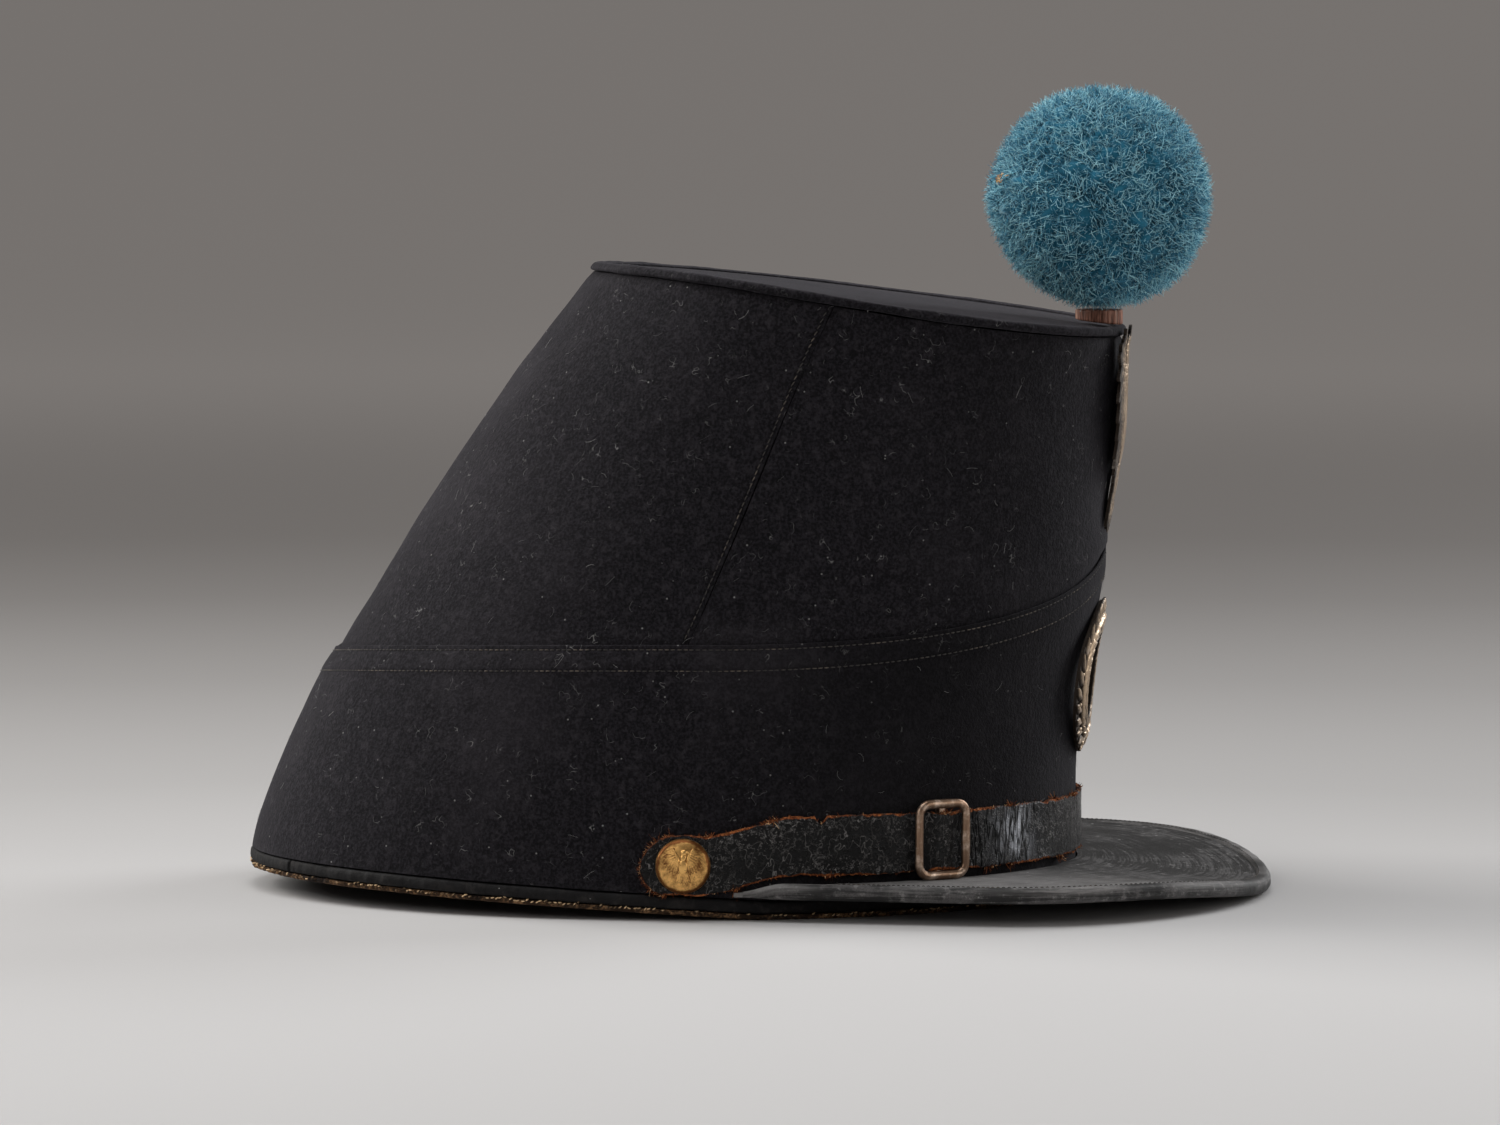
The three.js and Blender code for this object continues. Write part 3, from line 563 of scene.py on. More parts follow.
# Finishes


class Value:
    """A socket of a material. Sums and products of it add Math nodes."""

    def __init__(self, tree, socket):
        self.tree = tree
        self.socket = socket

    def maths(self, operation, *values):
        node = self.tree.nodes.new("ShaderNodeMath")
        node.operation = operation
        for slot, value in zip(node.inputs, values):
            plug(self.tree, slot, value)
        return Value(self.tree, node.outputs[0])

    def __add__(self, other):
        return self.maths("ADD", self, other)

    def __sub__(self, other):
        return self.maths("SUBTRACT", self, other)

    def __mul__(self, other):
        return self.maths("MULTIPLY", self, other)

    def __truediv__(self, other):
        return self.maths("DIVIDE", self, other)

    def __pow__(self, other):
        return self.maths("POWER", self, other)

    def __gt__(self, other):
        return self.maths("GREATER_THAN", self, other)

    def __abs__(self):
        return self.maths("ABSOLUTE", self)

    def __rsub__(self, other):
        return self.maths("SUBTRACT", other, self)

    __radd__ = __add__
    __rmul__ = __mul__

    def kept(self):
        """The value held between 0 and 1"""
        total = self + 0.0
        total.socket.node.use_clamp = True
        return total


def plug(tree, slot, value):
    """Links or sets an input"""
    if isinstance(value, Value):
        tree.links.new(value.socket, slot)
    elif slot.type == "RGBA" and len(value) == 3:
        slot.default_value = (*value, 1)
    else:
        slot.default_value = value


class Finish:
    """A material, its shader and the one way that its nodes are made"""

    def __init__(self, name, **constants):
        self.material = bpy.data.materials.new(name)
        self.material.use_nodes = True
        self.tree = self.material.node_tree
        self.shader = next(n for n in self.tree.nodes if n.type == "BSDF_PRINCIPLED")
        self.shade(**constants)
        self.place = self.node("ShaderNodeTexCoord", out="Object")

    def shade(self, **values):
        """Sets or links sockets of the shader, named with _ for a space"""
        for key, value in values.items():
            plug(self.tree, self.shader.inputs[key.replace("_", " ")], value)

    def node(self, kind, settings=None, sockets=None, out=0):
        """Any node: its settings first, then the values or links of its sockets"""
        node = self.tree.nodes.new(kind)
        for key, value in (settings or {}).items():
            if key == "stops":
                self.set_stops(node.color_ramp, value)
            else:
                setattr(node, key, value)
        for key, value in (sockets or {}).items():
            plug(self.tree, node.inputs[key], value)
        return Value(self.tree, node.outputs[out])

    @staticmethod
    def set_stops(ramp, stops):
        while len(ramp.elements) < len(stops):
            ramp.elements.new(1)
        for element, (position, colour) in zip(ramp.elements, stops):
            element.position = position
            element.color = (*colour, 1)

    def noise(self, scale, detail=2.0, roughness=0.5, place=None):
        sockets = {"Vector": place or self.place, "Scale": scale, "Detail": detail, "Roughness": roughness}
        return self.node("ShaderNodeTexNoise", None, sockets)

    def stretched(self, place, scales):
        """A place whose axes are stretched"""
        return self.node("ShaderNodeVectorMath", {"operation": "MULTIPLY"}, {0: place, 1: scales})

    def attribute(self, name, out="Fac"):
        return self.node("ShaderNodeAttribute", {"attribute_name": name}, out=out)

    def part(self, vector, axis):
        return self.node("ShaderNodeSeparateXYZ", None, {0: vector}, out=axis)

    def span(self, value, low, high):
        """0 below low, 1 above high, and smooth between"""
        settings = {"interpolation_type": "SMOOTHSTEP"}
        sockets = {"Value": value, "From Min": low, "From Max": high}
        return self.node("ShaderNodeMapRange", settings, sockets)

    def blend(self, share, a, b):
        """One colour into another"""
        return self.node("ShaderNodeMix", {"data_type": "RGBA"}, {0: share, 6: a, 7: b}, out=2)

    def patches(self, noise, low, high):
        """Soft-edged patches where a noise is high"""
        return self.span(self.noise(*noise), low, high)

    def ramp(self, stops, share):
        """A colour read from a row of stops"""
        return self.node("ShaderNodeValToRGB", {"stops": stops}, {"Fac": share})

    def lines(self, noise, width):
        """Thin winding lines where the noise crosses its middle"""
        return (1 - abs(noise - 0.5) / width).kept()

    def specks(self, scale, size, rarity):
        """Small round specks in a few of a pattern's cells"""
        near = self.node("ShaderNodeTexVoronoi", None, {"Vector": self.place, "Scale": scale})
        cell = self.node("ShaderNodeTexVoronoi", None, {"Vector": self.place, "Scale": scale}, out="Color")
        return (1 - self.span(near, size * 0.5, size)) * (self.part(cell, 0) > rarity)

    def bump(self, height, distance, strength=1.0, normal=None):
        sockets = {"Height": height, "Distance": distance, "Strength": strength}
        if normal:
            sockets["Normal"] = normal
        return self.node("ShaderNodeBump", None, sockets)


def cloth_finish(colours):
    """Fulled wool: a fine felted grain, dust, lint and short pale fibres, and painted shade where an
    attribute asks for it
    """
    cloth = Finish("Fulled wool cloth", Specular_IOR_Level=0.15, Sheen_Weight=0.06, Sheen_Roughness=0.5)
    cloth.shade(Sheen_Tint=(0.8, 0.76, 0.88))
    grain = cloth.noise(1300, 3, 0.65)
    nap = cloth.noise(420, 3, 0.6)
    patch = cloth.noise(24, 3, 0.6)
    dust = cloth.noise(60, 4, 0.6)
    colour = cloth.blend(cloth.span(grain, 0.4, 0.64), colours.cloth_dark, colours.cloth)
    colour = cloth.blend(cloth.span(patch, 0.45, 0.75) * 0.35, colour, colours.cloth_worn)
    colour = cloth.blend(cloth.span(nap, 0.5, 0.68) * 0.4, colour, colours.cloth_worn)
    wisps = cloth.lines(cloth.noise(330, 1.5, 0.5), 0.012) * cloth.patches((260, 1, 0.5), 0.56, 0.66)
    specks = cloth.specks(620, 0.2, 0.965)
    colour = cloth.blend(wisps * cloth.span(dust, 0.4, 0.65) * 0.45, colour, colours.lint)
    colour = cloth.blend(specks * 0.45, colour, colours.lint)
    # painted shade: the cloth goes near black behind the eagle plate, and darker towards the front and on the
    # top
    colour = cloth.blend(cloth.attribute("unfaded"), colour, colours.cloth_painted_shade)
    height = grain * 0.7 + nap * 0.8
    cloth.shade(Base_Color=colour, Roughness=0.86 + nap * 0.12, Normal=cloth.bump(height, 0.35 * MM))
    return cloth.material


def thread_finish(colours):
    """Waxed sewing thread, dark with pale worn stretches"""
    thread = Finish("Sewing thread", Roughness=0.8, Specular_IOR_Level=0.3, Sheen_Weight=0.2)
    worn = thread.patches((140, 2, 0.6), 0.48, 0.66)
    fibre = thread.noise(3000, 2, 0.5)
    colour = thread.blend(worn, colours.thread, colours.thread_worn)
    colour = thread.blend(fibre * 0.5, colour, colours.thread)
    thread.shade(Base_Color=colour, Normal=thread.bump(fibre, 0.05 * MM))
    return thread.material


def leather_finish(colours):
    """Black binding leather, scuffed grey along its creases"""
    leather = Finish("Black binding leather", Specular_IOR_Level=0.18)
    grain = leather.noise(1500, 3, 0.6)
    crease = leather.noise(260, 4, 0.65)
    scuff = leather.span(crease, 0.5, 0.72)
    pale = leather.specks(900, 0.2, 0.97) * 0.5
    colour = leather.blend(scuff * 0.75, colours.leather, colours.leather_worn)
    colour = leather.blend(pale, colour, colours.lint)
    height = grain * 0.4 + crease
    leather.shade(Base_Color=colour, Roughness=0.7 + scuff * 0.2, Normal=leather.bump(height, 0.4 * MM))
    return leather.material


def strap_finish(colours):
    """Patent leather that has crazed all over, split across, and gone brown at its edges, with painted glints
    and a painted sheen
    """
    strap = Finish("Crazed strap leather", Specular_IOR_Level=0.2)
    flat = strap.attribute("flat", "Vector")
    edge = strap.attribute("edge")
    split = strap.attribute("split")
    broken = strap.patches((620, 2, 0.6), 0.48, 0.58)
    # pale crazing lines: partly real crazing, partly painted glints
    craze_and_glints = strap.lines(strap.noise(900, 2, 0.6), 0.06) * broken
    net = strap.lines(strap.noise(430, 3, 0.7), 0.05) * broken
    grain = strap.noise(2200, 2, 0.6)
    patch = strap.patches((90, 3, 0.6), 0.42, 0.62)
    across = strap.stretched(flat, (1, 0.16, 1))
    cracks = strap.lines(strap.noise(440, 2.5, 0.6, across), 0.06) * strap.span(split, 0.2, 0.5)
    # painted sheen: a pale bluish painted reflection on one stretch of the strap
    sheen_patch = strap.attribute("polish") * strap.patches((500, 3, 0.6, across), 0.35, 0.6)
    scratch = strap.lines(strap.noise(300, 2, 0.5, strap.stretched(flat, (1, 0.5, 1))), 0.008)
    colour = strap.blend(strap.span(grain, 0.3, 0.8) * 0.6, colours.strap, colours.strap_worn)
    # painted glints: small pale flecks
    painted_glints = strap.patches((1300, 2, 0.6), 0.6, 0.68) * patch
    pale = (craze_and_glints * 0.5 + net * 0.7) * (0.1 + patch * 0.5) + painted_glints * 0.5
    colour = strap.blend(pale.kept(), colour, colours.craze_and_glints)
    colour = strap.blend((split * strap.noise(200, 3, 0.6, across)).kept(), colour, colours.scuff)
    colour = strap.blend(scratch * (1 - patch) * 0.4, colour, colours.craze_and_glints)
    colour = strap.blend(sheen_patch.kept(), colour, colours.polish)
    colour = strap.blend((cracks * 1.2).kept(), colour, colours.crack)
    torn = strap.patches((75, 3, 0.7), 0.42, 0.56)
    fray = strap.span(edge + strap.noise(900, 3, 0.6) * 0.6 + torn * 0.3, 1.24, 1.36) * (0.2 + torn * 0.8)
    rust = strap.blend(strap.patches((1100, 2, 0.6), 0.4, 0.65), colours.rust, colours.torn)
    colour = strap.blend(fray, colour, rust)
    height = grain * 0.3 + net * 0.8 - cracks * 2.2 + craze_and_glints * 0.5 + painted_glints * 0.6
    rough = 0.3 + fray * 0.6 + patch * 0.16
    strap.shade(Base_Color=colour, Roughness=rough.kept(), Normal=strap.bump(height, 0.6 * MM))
    return strap.material


def visor_finish(colours):
    """Worn visor leather: dusty grey, rubbed in long streaks that follow its edge"""
    visor = Finish("Worn visor leather", Specular_IOR_Level=0.35)
    flat = visor.attribute("flat", "Vector")
    streaks = visor.noise(100, 5, 0.65, visor.stretched(flat, (0.35, 9, 1)))
    fine = visor.noise(300, 4, 0.7, visor.stretched(flat, (0.3, 6, 1)))
    grain = visor.noise(1800, 3, 0.6)
    cloud = visor.noise(45, 3, 0.6)
    dusty = visor.noise(420, 4, 0.7)
    worn = visor.span(streaks * 0.5 + fine * 0.3 + dusty * 0.2 + (cloud - 0.5) * 0.5, 0.45, 0.56)
    colour = visor.blend(worn, colours.visor_dark, colours.visor)
    colour = visor.blend(visor.span(grain, 0.45, 0.65) * 0.4, colour, colours.visor_dark)
    colour = visor.blend(visor.span(dusty, 0.55, 0.7) * worn * 0.5, colour, colours.visor_worn)
    rub = visor.attribute("rub")
    rubbed = rub * (0.15 + 0.5 * visor.span(fine, 0.3, 0.65))
    colour = visor.blend(rubbed.kept(), colour, colours.visor_worn)
    colour = visor.blend(visor.specks(420, 0.2, 0.95) * 0.7, colour, colours.lint)
    line = visor.attribute("bare") * visor.patches((240, 2, 0.6), 0.42, 0.55)
    colour = visor.blend(line, colour, colours.rust)
    height = grain * 0.5 + fine * 0.6 + dusty * 0.4
    visor.shade(Base_Color=colour, Roughness=0.6 + worn * 0.2, Normal=visor.bump(height, 0.2 * MM))
    return visor.material


def raw_finish(colours):
    """Bare leather at a cut or worn edge"""
    raw = Finish("Raw leather edge", Roughness=0.92, Specular_IOR_Level=0.2)
    grain = raw.noise(1100, 4, 0.7)
    patch = raw.noise(120, 3, 0.6)
    light = raw.span(grain, 0.44, 0.62) * raw.span(patch, 0.38, 0.54)
    colour = raw.blend(light, colours.raw_dark, colours.raw)
    colour = raw.blend(raw.patches((55, 2, 0.6), 0.5, 0.62) * 0.8, colour, colours.leather)
    raw.shade(Base_Color=colour, Normal=raw.bump(grain + patch * 0.5, 0.3 * MM))
    return raw.material


def fray_finish(colours):
    """Torn leather fibres, rust to straw"""
    fray = Finish("Torn leather fibres", Roughness=0.9, Specular_IOR_Level=0.2)
    stops = ((0.0, colours.fibre_dark), (0.4, colours.rust), (0.8, colours.torn), (1.0, colours.straw))
    fray.shade(Base_Color=fray.ramp(stops, fray.attribute("tone")))
    return fray.material


def edge_thread_finish(colours):
    """Thread of the lower edge, soiled in places"""
    thread = Finish("Edge thread", Roughness=0.9, Specular_IOR_Level=0.2)
    worn = thread.patches((130, 3, 0.6), 0.4, 0.58)
    thread.shade(Base_Color=thread.blend(worn, colours.seam_thread, colours.raw_dark))
    return thread.material


def lint_finish(colours):
    """Pale loose fibres, some greyer"""
    lint = Finish("Lint", Roughness=0.95, Specular_IOR_Level=0.2, Sheen_Weight=0.3)
    lint.shade(Base_Color=lint.blend(lint.attribute("tone"), colours.cloth_worn, colours.lint))
    return lint.material


def brass_finish(colours):
    """Stamped brass gone brown in its hollows, rubbed bright on its crests"""
    brass = Finish("Aged stamped brass", Specular_IOR_Level=0.5)
    crest = brass.attribute("crest")
    cloud = brass.noise(170, 4, 0.65)
    grain = brass.noise(1500, 3, 0.6)
    stipple = brass.node("ShaderNodeTexVoronoi", None, {"Vector": brass.place, "Scale": 1100})
    dots = (1 - brass.span(stipple, 0.2, 0.6)) * brass.attribute("stippled")
    bright = brass.span(crest * 0.85 + dots * 0.6 + (cloud - 0.5) * 0.9 + (grain - 0.5) * 0.35, 0.25, 0.9)
    colour = brass.blend(bright, colours.brass_dark, colours.brass)
    colour = brass.blend(brass.span(cloud, 0.58, 0.74) * 0.5, colour, colours.brass_pale)
    rough = 0.5 - bright * 0.2
    brass.shade(Base_Color=colour, Metallic=0.55 + bright * 0.4, Roughness=rough)
    brass.shade(Normal=brass.bump(grain * 0.4 + cloud * 0.4 + dots * 1.5, 0.25 * MM))
    return brass.material


def buckle_finish(colours):
    """Brass wire with a brown skin, bright where it is rubbed"""
    wire = Finish("Brown brass wire", Specular_IOR_Level=0.5)
    cloud = wire.noise(260, 4, 0.6)
    grain = wire.noise(2400, 3, 0.6)
    rubbed = wire.span(cloud, 0.45, 0.7)
    wire.shade(Base_Color=wire.blend(rubbed, colours.wire, colours.wire_rubbed))
    wire.shade(Metallic=0.95, Roughness=0.24 + grain * 0.2, Normal=wire.bump(grain + cloud, 0.06 * MM))
    return wire.material


def gilt_finish(colours):
    """Gilt button brass with grime in the relief and small pits"""
    gilt = Finish("Gilt brass", Specular_IOR_Level=0.5)
    crest = gilt.attribute("crest")
    cloud = gilt.noise(600, 4, 0.7)
    pits = gilt.specks(1700, 0.3, 0.75)
    bright = gilt.span(crest + (cloud - 0.5) * 1.2, 0.2, 0.85)
    colour = gilt.blend(bright, colours.gilt_dark, colours.gilt)
    colour = gilt.blend(pits * 0.7, colour, colours.gilt_dark)
    gilt.shade(Base_Color=colour, Metallic=0.95 - pits * 0.4, Roughness=0.42 - bright * 0.12)
    gilt.shade(Normal=gilt.bump(cloud * 0.6 - pits, 0.05 * MM))
    return gilt.material


def pompom_finish(colours):
    """Blue wool: painted shade between the fibres and towards their roots, paler at their ends"""
    wool = Finish("Blue wool", Roughness=0.95, Specular_IOR_Level=0.15)
    wool.shade(Sheen_Weight=1.0, Sheen_Roughness=0.4, Sheen_Tint=(0.6, 0.9, 1.0))
    depth = wool.attribute("depth")
    tone = wool.attribute("tone")
    cloud = wool.noise(70, 3, 0.6)
    # depth carries painted shade: dark at the fibres' roots and on the core ball
    share = depth * 0.45 + tone * 1.2 - 0.3 + (cloud - 0.5) * 0.35
    stops = ((0.0, colours.wool_shade), (0.45, colours.wool), (1.0, colours.wool_pale))
    wool.shade(Base_Color=wool.ramp(stops, share))
    return wool.material


def stem_finish(colours):
    """Reddish wood with an upright grain, worn pale in streaks"""
    stem = Finish("Red stem wood", Specular_IOR_Level=0.35)
    grain = stem.noise(500, 4, 0.65, stem.stretched(stem.place, (3, 3, 0.25)))
    streak = stem.noise(260, 3, 0.6, stem.stretched(stem.place, (2, 2, 0.1)))
    colour = stem.blend(stem.span(grain, 0.35, 0.7), colours.stem_dark, colours.stem)
    colour = stem.blend(stem.span(streak, 0.52, 0.66) * 0.8, colour, colours.stem_pale)
    stem.shade(Base_Color=colour, Roughness=0.55 + grain * 0.2, Normal=stem.bump(grain, 0.15 * MM))
    return stem.material


def stage_finish(colours):
    """A pale table whose paper sweep goes grey behind, with a painted pool of light round the cap and a
    painted glow on the far sweep
    """
    stage = Finish("Pale sweep", Roughness=0.9, Specular_IOR_Level=0.1)
    ahead = stage.node("ShaderNodeVectorMath", {"operation": "ADD"}, {0: stage.place, 1: (0, POOL_AHEAD, 0)})
    away = stage.node("ShaderNodeVectorMath", {"operation": "LENGTH"}, {0: ahead}, out="Value")
    floor, backdrop = np.array(colours.floor), np.array(colours.backdrop)
    # painted light: pale near the cap, falling off to the sweep's grey with distance
    shares = ((0.15, 0.0), (0.36, 0.46), (0.58, 0.74), (0.8, 0.92), (1.0, 1.0))
    stops = [(place, tuple(mix(floor, backdrop, share))) for place, share in shares]
    stage.shade(Base_Color=stage.ramp(stops, away / colours.wall_starts), Emission_Strength=1.0)
    # painted light: the far sweep glows though it is no lamp
    painted_glow = stage.span(away, GLOW_STARTS, GLOW_ENDS)
    stage.shade(Emission_Color=stage.blend(painted_glow, (0, 0, 0), colours.painted_glow))
    return stage.material


# Pieces


def spread(count, crowding):
    """Shares from 0 to 1 that lie closer together at both ends"""
    t = np.linspace(0, 1, count)
    return t - crowding * np.sin(FULL_TURN * t) / FULL_TURN


def eagle_gap(z):
    """Gap between the crown's cloth and the eagle plate"""
    return EAGLE_STANDOFF * read_column(EAGLE_GAP, "up", "gap", (z - EAGLE_LOW) / EAGLE_TALL)


def under_eagle(face, z):
    """How far the crown's cloth comes out to meet the back of the eagle plate, and where, from 0 to 1"""
    # a narrow ridge that fills the dark gap behind the plate, which crown_panel paints in shade
    across = np.abs(face[..., 1])
    window = (1 - smooth((across - 3 * MM) / (4 * MM))) * (face[..., 0] > 0)
    window = window * smooth((z - EAGLE_LOW) / (6 * MM))
    window = window * smooth((FRONT_HEIGHT - WELT_HEIGHT - z) / (1.5 * MM))
    return np.maximum(eagle_gap(z) - EAGLE_SET_BACK - 0.25 * MM, 0) * window, window


def over_peak(angle, over_band):
    """How far the crown's cloth comes out above the band's peak, to meet its edge"""
    ahead = hump(wrapped(angle), 0.3)
    return 1.2 * MM * ahead * smooth(over_band / (2.2 * MM)) * (1 - smooth((over_band - 2 * MM) / (14 * MM)))


def crown_relief(face, z, top, over_band):
    """Soft dents in the crown's cloth, which end at its edges"""
    free = smooth(over_band / (9 * MM)) * smooth((top - z) / (4 * MM))
    return ripples(face, (0.34, 62, 11), (0.07, 17, 12)) * free


def crown_panel(start, end, stitched):
    """One half of the crown, whose cloth rolls in at both seams, and the painted shade of its finish. "start"
    and
    "end" give the seams' angles at a height."""
    share = np.union1d(spread(184, 0.93), np.linspace(0.46, 0.54, 26))[:, None]
    rise = np.linspace(0, 1, 84)[None, :]
    top = crown_height(mix(start(BACK_HEIGHT), end(BACK_HEIGHT), share))
    low = body_bottom(mix(start(0), end(0), share))
    z = mix(low, top, rise)
    angle = mix(start(z), end(z), share)
    face = bare_wall(angle, z)
    step = np.linalg.norm(np.diff(face, axis=0), axis=-1)
    run = np.concatenate([np.zeros((1, z.shape[1])), np.cumsum(step, axis=0)])
    from_seam = np.minimum(run, run[-1:] - run)
    over_band = z - band_height(angle)
    relief = crown_relief(face, z, top, over_band)
    relief -= 0.7 * MM * (1 - smooth(from_seam / (2.2 * MM)))
    relief -= 0.1 * MM * hump(from_seam - 1.35 * MM, 0.35 * MM) * stitched * (over_band > 0)
    tuck = 0.25 * MM * (1 - smooth((top - z) / (1.2 * MM)))
    behind_eagle, window = under_eagle(face, z)
    outer = wall_point(angle, z, relief - tuck + behind_eagle + over_peak(angle, over_band))
    inner_rise = np.linspace(0, 1, 12)[None, ::-1]
    z_in = mix(low, top, inner_rise)
    inner = wall_point(mix(start(z_in), end(z_in), share), z_in, -WALL)
    # painted shade: near black on the ridge behind the eagle plate, and darker towards the crown's front
    kept = np.maximum(smooth(3 * window), 0.35 * smooth((face[..., 0] - 60 * MM) / (60 * MM)))
    unfaded = np.concatenate([kept, 0 * inner[..., 0]], axis=1)
    return shell(np.concatenate([outer, inner], axis=1), False), {"unfaded": unfaded.ravel()}


def seam_line(z):
    return np.radians(mix(SEAM_LOW, SEAM_HIGH, z / BACK_HEIGHT))


def seam_stitches(side, sizes):
    """The row of stitches behind a side seam"""
    z = np.arange(BAND_SIDE + 2 * MM, BACK_HEIGHT, sizes.stitch_pitch)
    off = 1.4 * MM / girth(side * seam_line(z), z)
    angle = side * (seam_line(z) + off)
    top = crown_height(angle)
    below = z < top - MM
    z, angle, top = z[below], angle[below], top[below]
    relief = crown_relief(bare_wall(angle, z), z, top, z - band_height(angle)) - 0.1 * MM
    places = wall_point(angle, z, 0.06 * MM + relief)
    along = unit(wall_point(side * seam_line(z + MM) + side * off[0], z + MM, 0) - wall_point(angle, z, 0))
    return stitches(places, along, wall_normal(angle, z), sizes.stitch_pitch * 0.78, sizes.thread / 2)


def top_cloth():
    """The flat top: a disc of cloth that sags a little inside its welt"""
    ahead, aside = disc(64)
    away = np.clip(np.hypot(ahead, aside), 0, 1)
    angle = np.arctan2(aside, ahead)
    rim = rim_point(angle, -WALL - CLEARANCE, TOP_SUNK)
    middle = rim_point(round_angles(71), -WALL - CLEARANCE, TOP_SUNK).mean(0)
    top = middle + (rim - middle) * away[..., None]
    sag = (1 - away**4) * (0.5 + 0.35 * rumple(top, 70 * MM, 21)) + 0.25 * smooth((away - 0.94) / 0.06)
    top[..., 2] -= 0.8 * MM * sag
    top[..., 2] += 0.1 * MM * rumple(top, 16 * MM, 22) * (1 - away**6)
    return slab(top, top - (0, 0, TOP_THICKNESS * 0.8))


def welt():
    """The rolled welt: a soft cord of cloth round the rim"""
    angle = round_angles(420)[:, None]
    turn = round_angles(26)[None, :]
    half_width, half_height = (WALL + WELT_PROUD) / 2, WELT_HEIGHT / 2
    out, up = squared(turn, 2 / 2.7)
    proud = WELT_PROUD - half_width + half_width * out
    drop = half_height - half_height * up
    swell = ripples(rim_point(angle, 0, half_height), (0.13, 22, 31), (0.05, 5, 32))
    groove = 0.35 * MM * hump(proud + 1.1 * MM, 0.55 * MM) * (np.sin(turn) > 0)
    drop = drop + groove - swell * np.sin(turn) * 0.6
    return shell(rim_point(angle, proud + swell * np.cos(turn), drop), True)


def band_relief(points, down):
    """The band's cloth: a fold along its edge, two sewn rows and soft dents"""
    relief = ripples(points, (0.22, 58, 41), (0.06, 15, 42)) * smooth((down - 3 * MM) / (10 * MM))
    hem = 0.22 * MM * (1 - smooth((down - SECOND_ROW) / (1.2 * MM)))
    rolled = 0.55 * MM * (1 - smooth(down / (6 * MM)))
    rows = 0.22 * MM * (hump(down - FIRST_ROW, 0.4 * MM) + hump(down - SECOND_ROW, 0.45 * MM))
    return relief + (hem - rolled) - rows


def band_cloth():
    """The band, its upper edge folded over"""
    angle = round_angles(480)[:, None]
    edge = band_height(angle)
    low = body_bottom(angle)
    fold = BAND_THICKNESS / 2
    turn = np.linspace(0, math.pi, 9)[None, 1:-1]
    down = np.linspace(0, 9 * MM, 27)[None, 1:] + fold + 0 * edge
    rest = np.linspace(0, 1, 26)[None, 1:]
    down = np.concatenate([down, mix(9 * MM + fold, edge - low, rest)], axis=1)
    z = edge - down
    spot = wall_point(angle, z, BAND_OUTER)
    outer = wall_point(angle, z, BAND_OUTER + band_relief(spot, down))[:, ::-1]
    rolled = CLEARANCE + fold + (fold - 0.35 * MM * (1 + np.cos(turn)) / 2) * np.cos(turn)
    over = wall_point(angle, edge - fold + fold * np.sin(turn) * 1.1, rolled)
    inner = wall_point(angle, z[:, 3::6], CLEARANCE)
    return shell(np.concatenate([outer, over, inner], axis=1), True)


def band_stitches(down, sizes, seed):
    """A row of stitches round the band, "down" from its edge"""
    draw = np.random.default_rng(seed)
    fine = np.linspace(0, FULL_TURN, 4000)
    line = wall_point(fine, band_height(fine) - down, BAND_OUTER)
    run = np.concatenate([[0], np.cumsum(np.linalg.norm(np.diff(line, axis=0), axis=1))])
    count = int(run[-1] / sizes.stitch_pitch)
    angle = np.interp((np.arange(count) + draw.uniform(-0.08, 0.08, count)) * run[-1] / count, run, fine)
    z = band_height(angle) - down
    spot = wall_point(angle, z, BAND_OUTER)
    places = wall_point(angle, z, BAND_OUTER + 0.08 * MM + band_relief(spot, np.full(count, down)))
    ahead = wall_point(angle + NUDGE, band_height(angle + NUDGE) - down, BAND_OUTER)
    along = unit(ahead - spot)
    return stitches(places, along, wall_normal(angle, z), sizes.stitch_pitch * 0.72, sizes.thread / 2)


def binding():
    """The leather binding: rounded, creased, cracked at one place and lapped at another"""
    angle = round_angles(900)[:, None]
    turn = round_angles(18)[None, :]
    low = EDGE_HEIGHT + CLEARANCE
    half_height = BINDING_HEIGHT / 2
    half_width = (WALL + BINDING_FACE) / 2
    out, up = squared(turn, 2 / 3.6)
    proud = BINDING_FACE - half_width + half_width * out
    z = base_height(angle) + (low + half_height + half_height * up)
    spot = wall_point(angle, 0 * angle, BINDING_FACE)
    crease = ripples(spot, (0.16, 14, 51), (0.09, 3.2, 52), (0.07, 1.3, 53))
    reach = BASE_LENGTH / 2
    crack = hump(wrapped(angle, math.radians(BINDING_CRACK)) * reach, 0.35 * MM)
    past_lap = wrapped(angle, math.radians(BINDING_LAP))
    lap = smooth(past_lap * reach / (0.5 * MM) + 0.5) * (1 - smooth((past_lap - 1.2) / 0.5))
    face = np.clip(np.cos(turn), 0, 1)
    proud = proud + face * (crease + 0.28 * MM * lap - 0.9 * MM * crack - 0.2 * MM)
    return shell(wall_point(angle, z, proud), True)


def raw_edge():
    """The worn edge below the binding: rough bare leather"""
    angle = round_angles(1100)[:, None]
    section = np.array([
        (-WALL, 0.05), (-0.5 * MM, 0.0), (EDGE_FACE - 0.4 * MM, 0.0), (EDGE_FACE, 0.25), (EDGE_FACE, 0.6),
        (EDGE_FACE - 0.1 * MM, 1.0), (-0.5 * MM, 1.0), (-WALL, 0.95),
    ])
    proud, up = section[:, 0][None, :], section[:, 1][None, :]
    rough = ripples(wall_point(angle, 0 * angle, EDGE_FACE), (0.2, 2.4, 61), (0.16, 1.1, 62), (0.25, 19, 63))
    outer = (proud > 0) * 1.0
    z = base_height(angle) + EDGE_HEIGHT * up + 0.35 * rough * (up > 0.1) * (up < 0.99) * outer
    return shell(wall_point(angle, z, proud + outer * (rough - 0.15 * MM)), True)


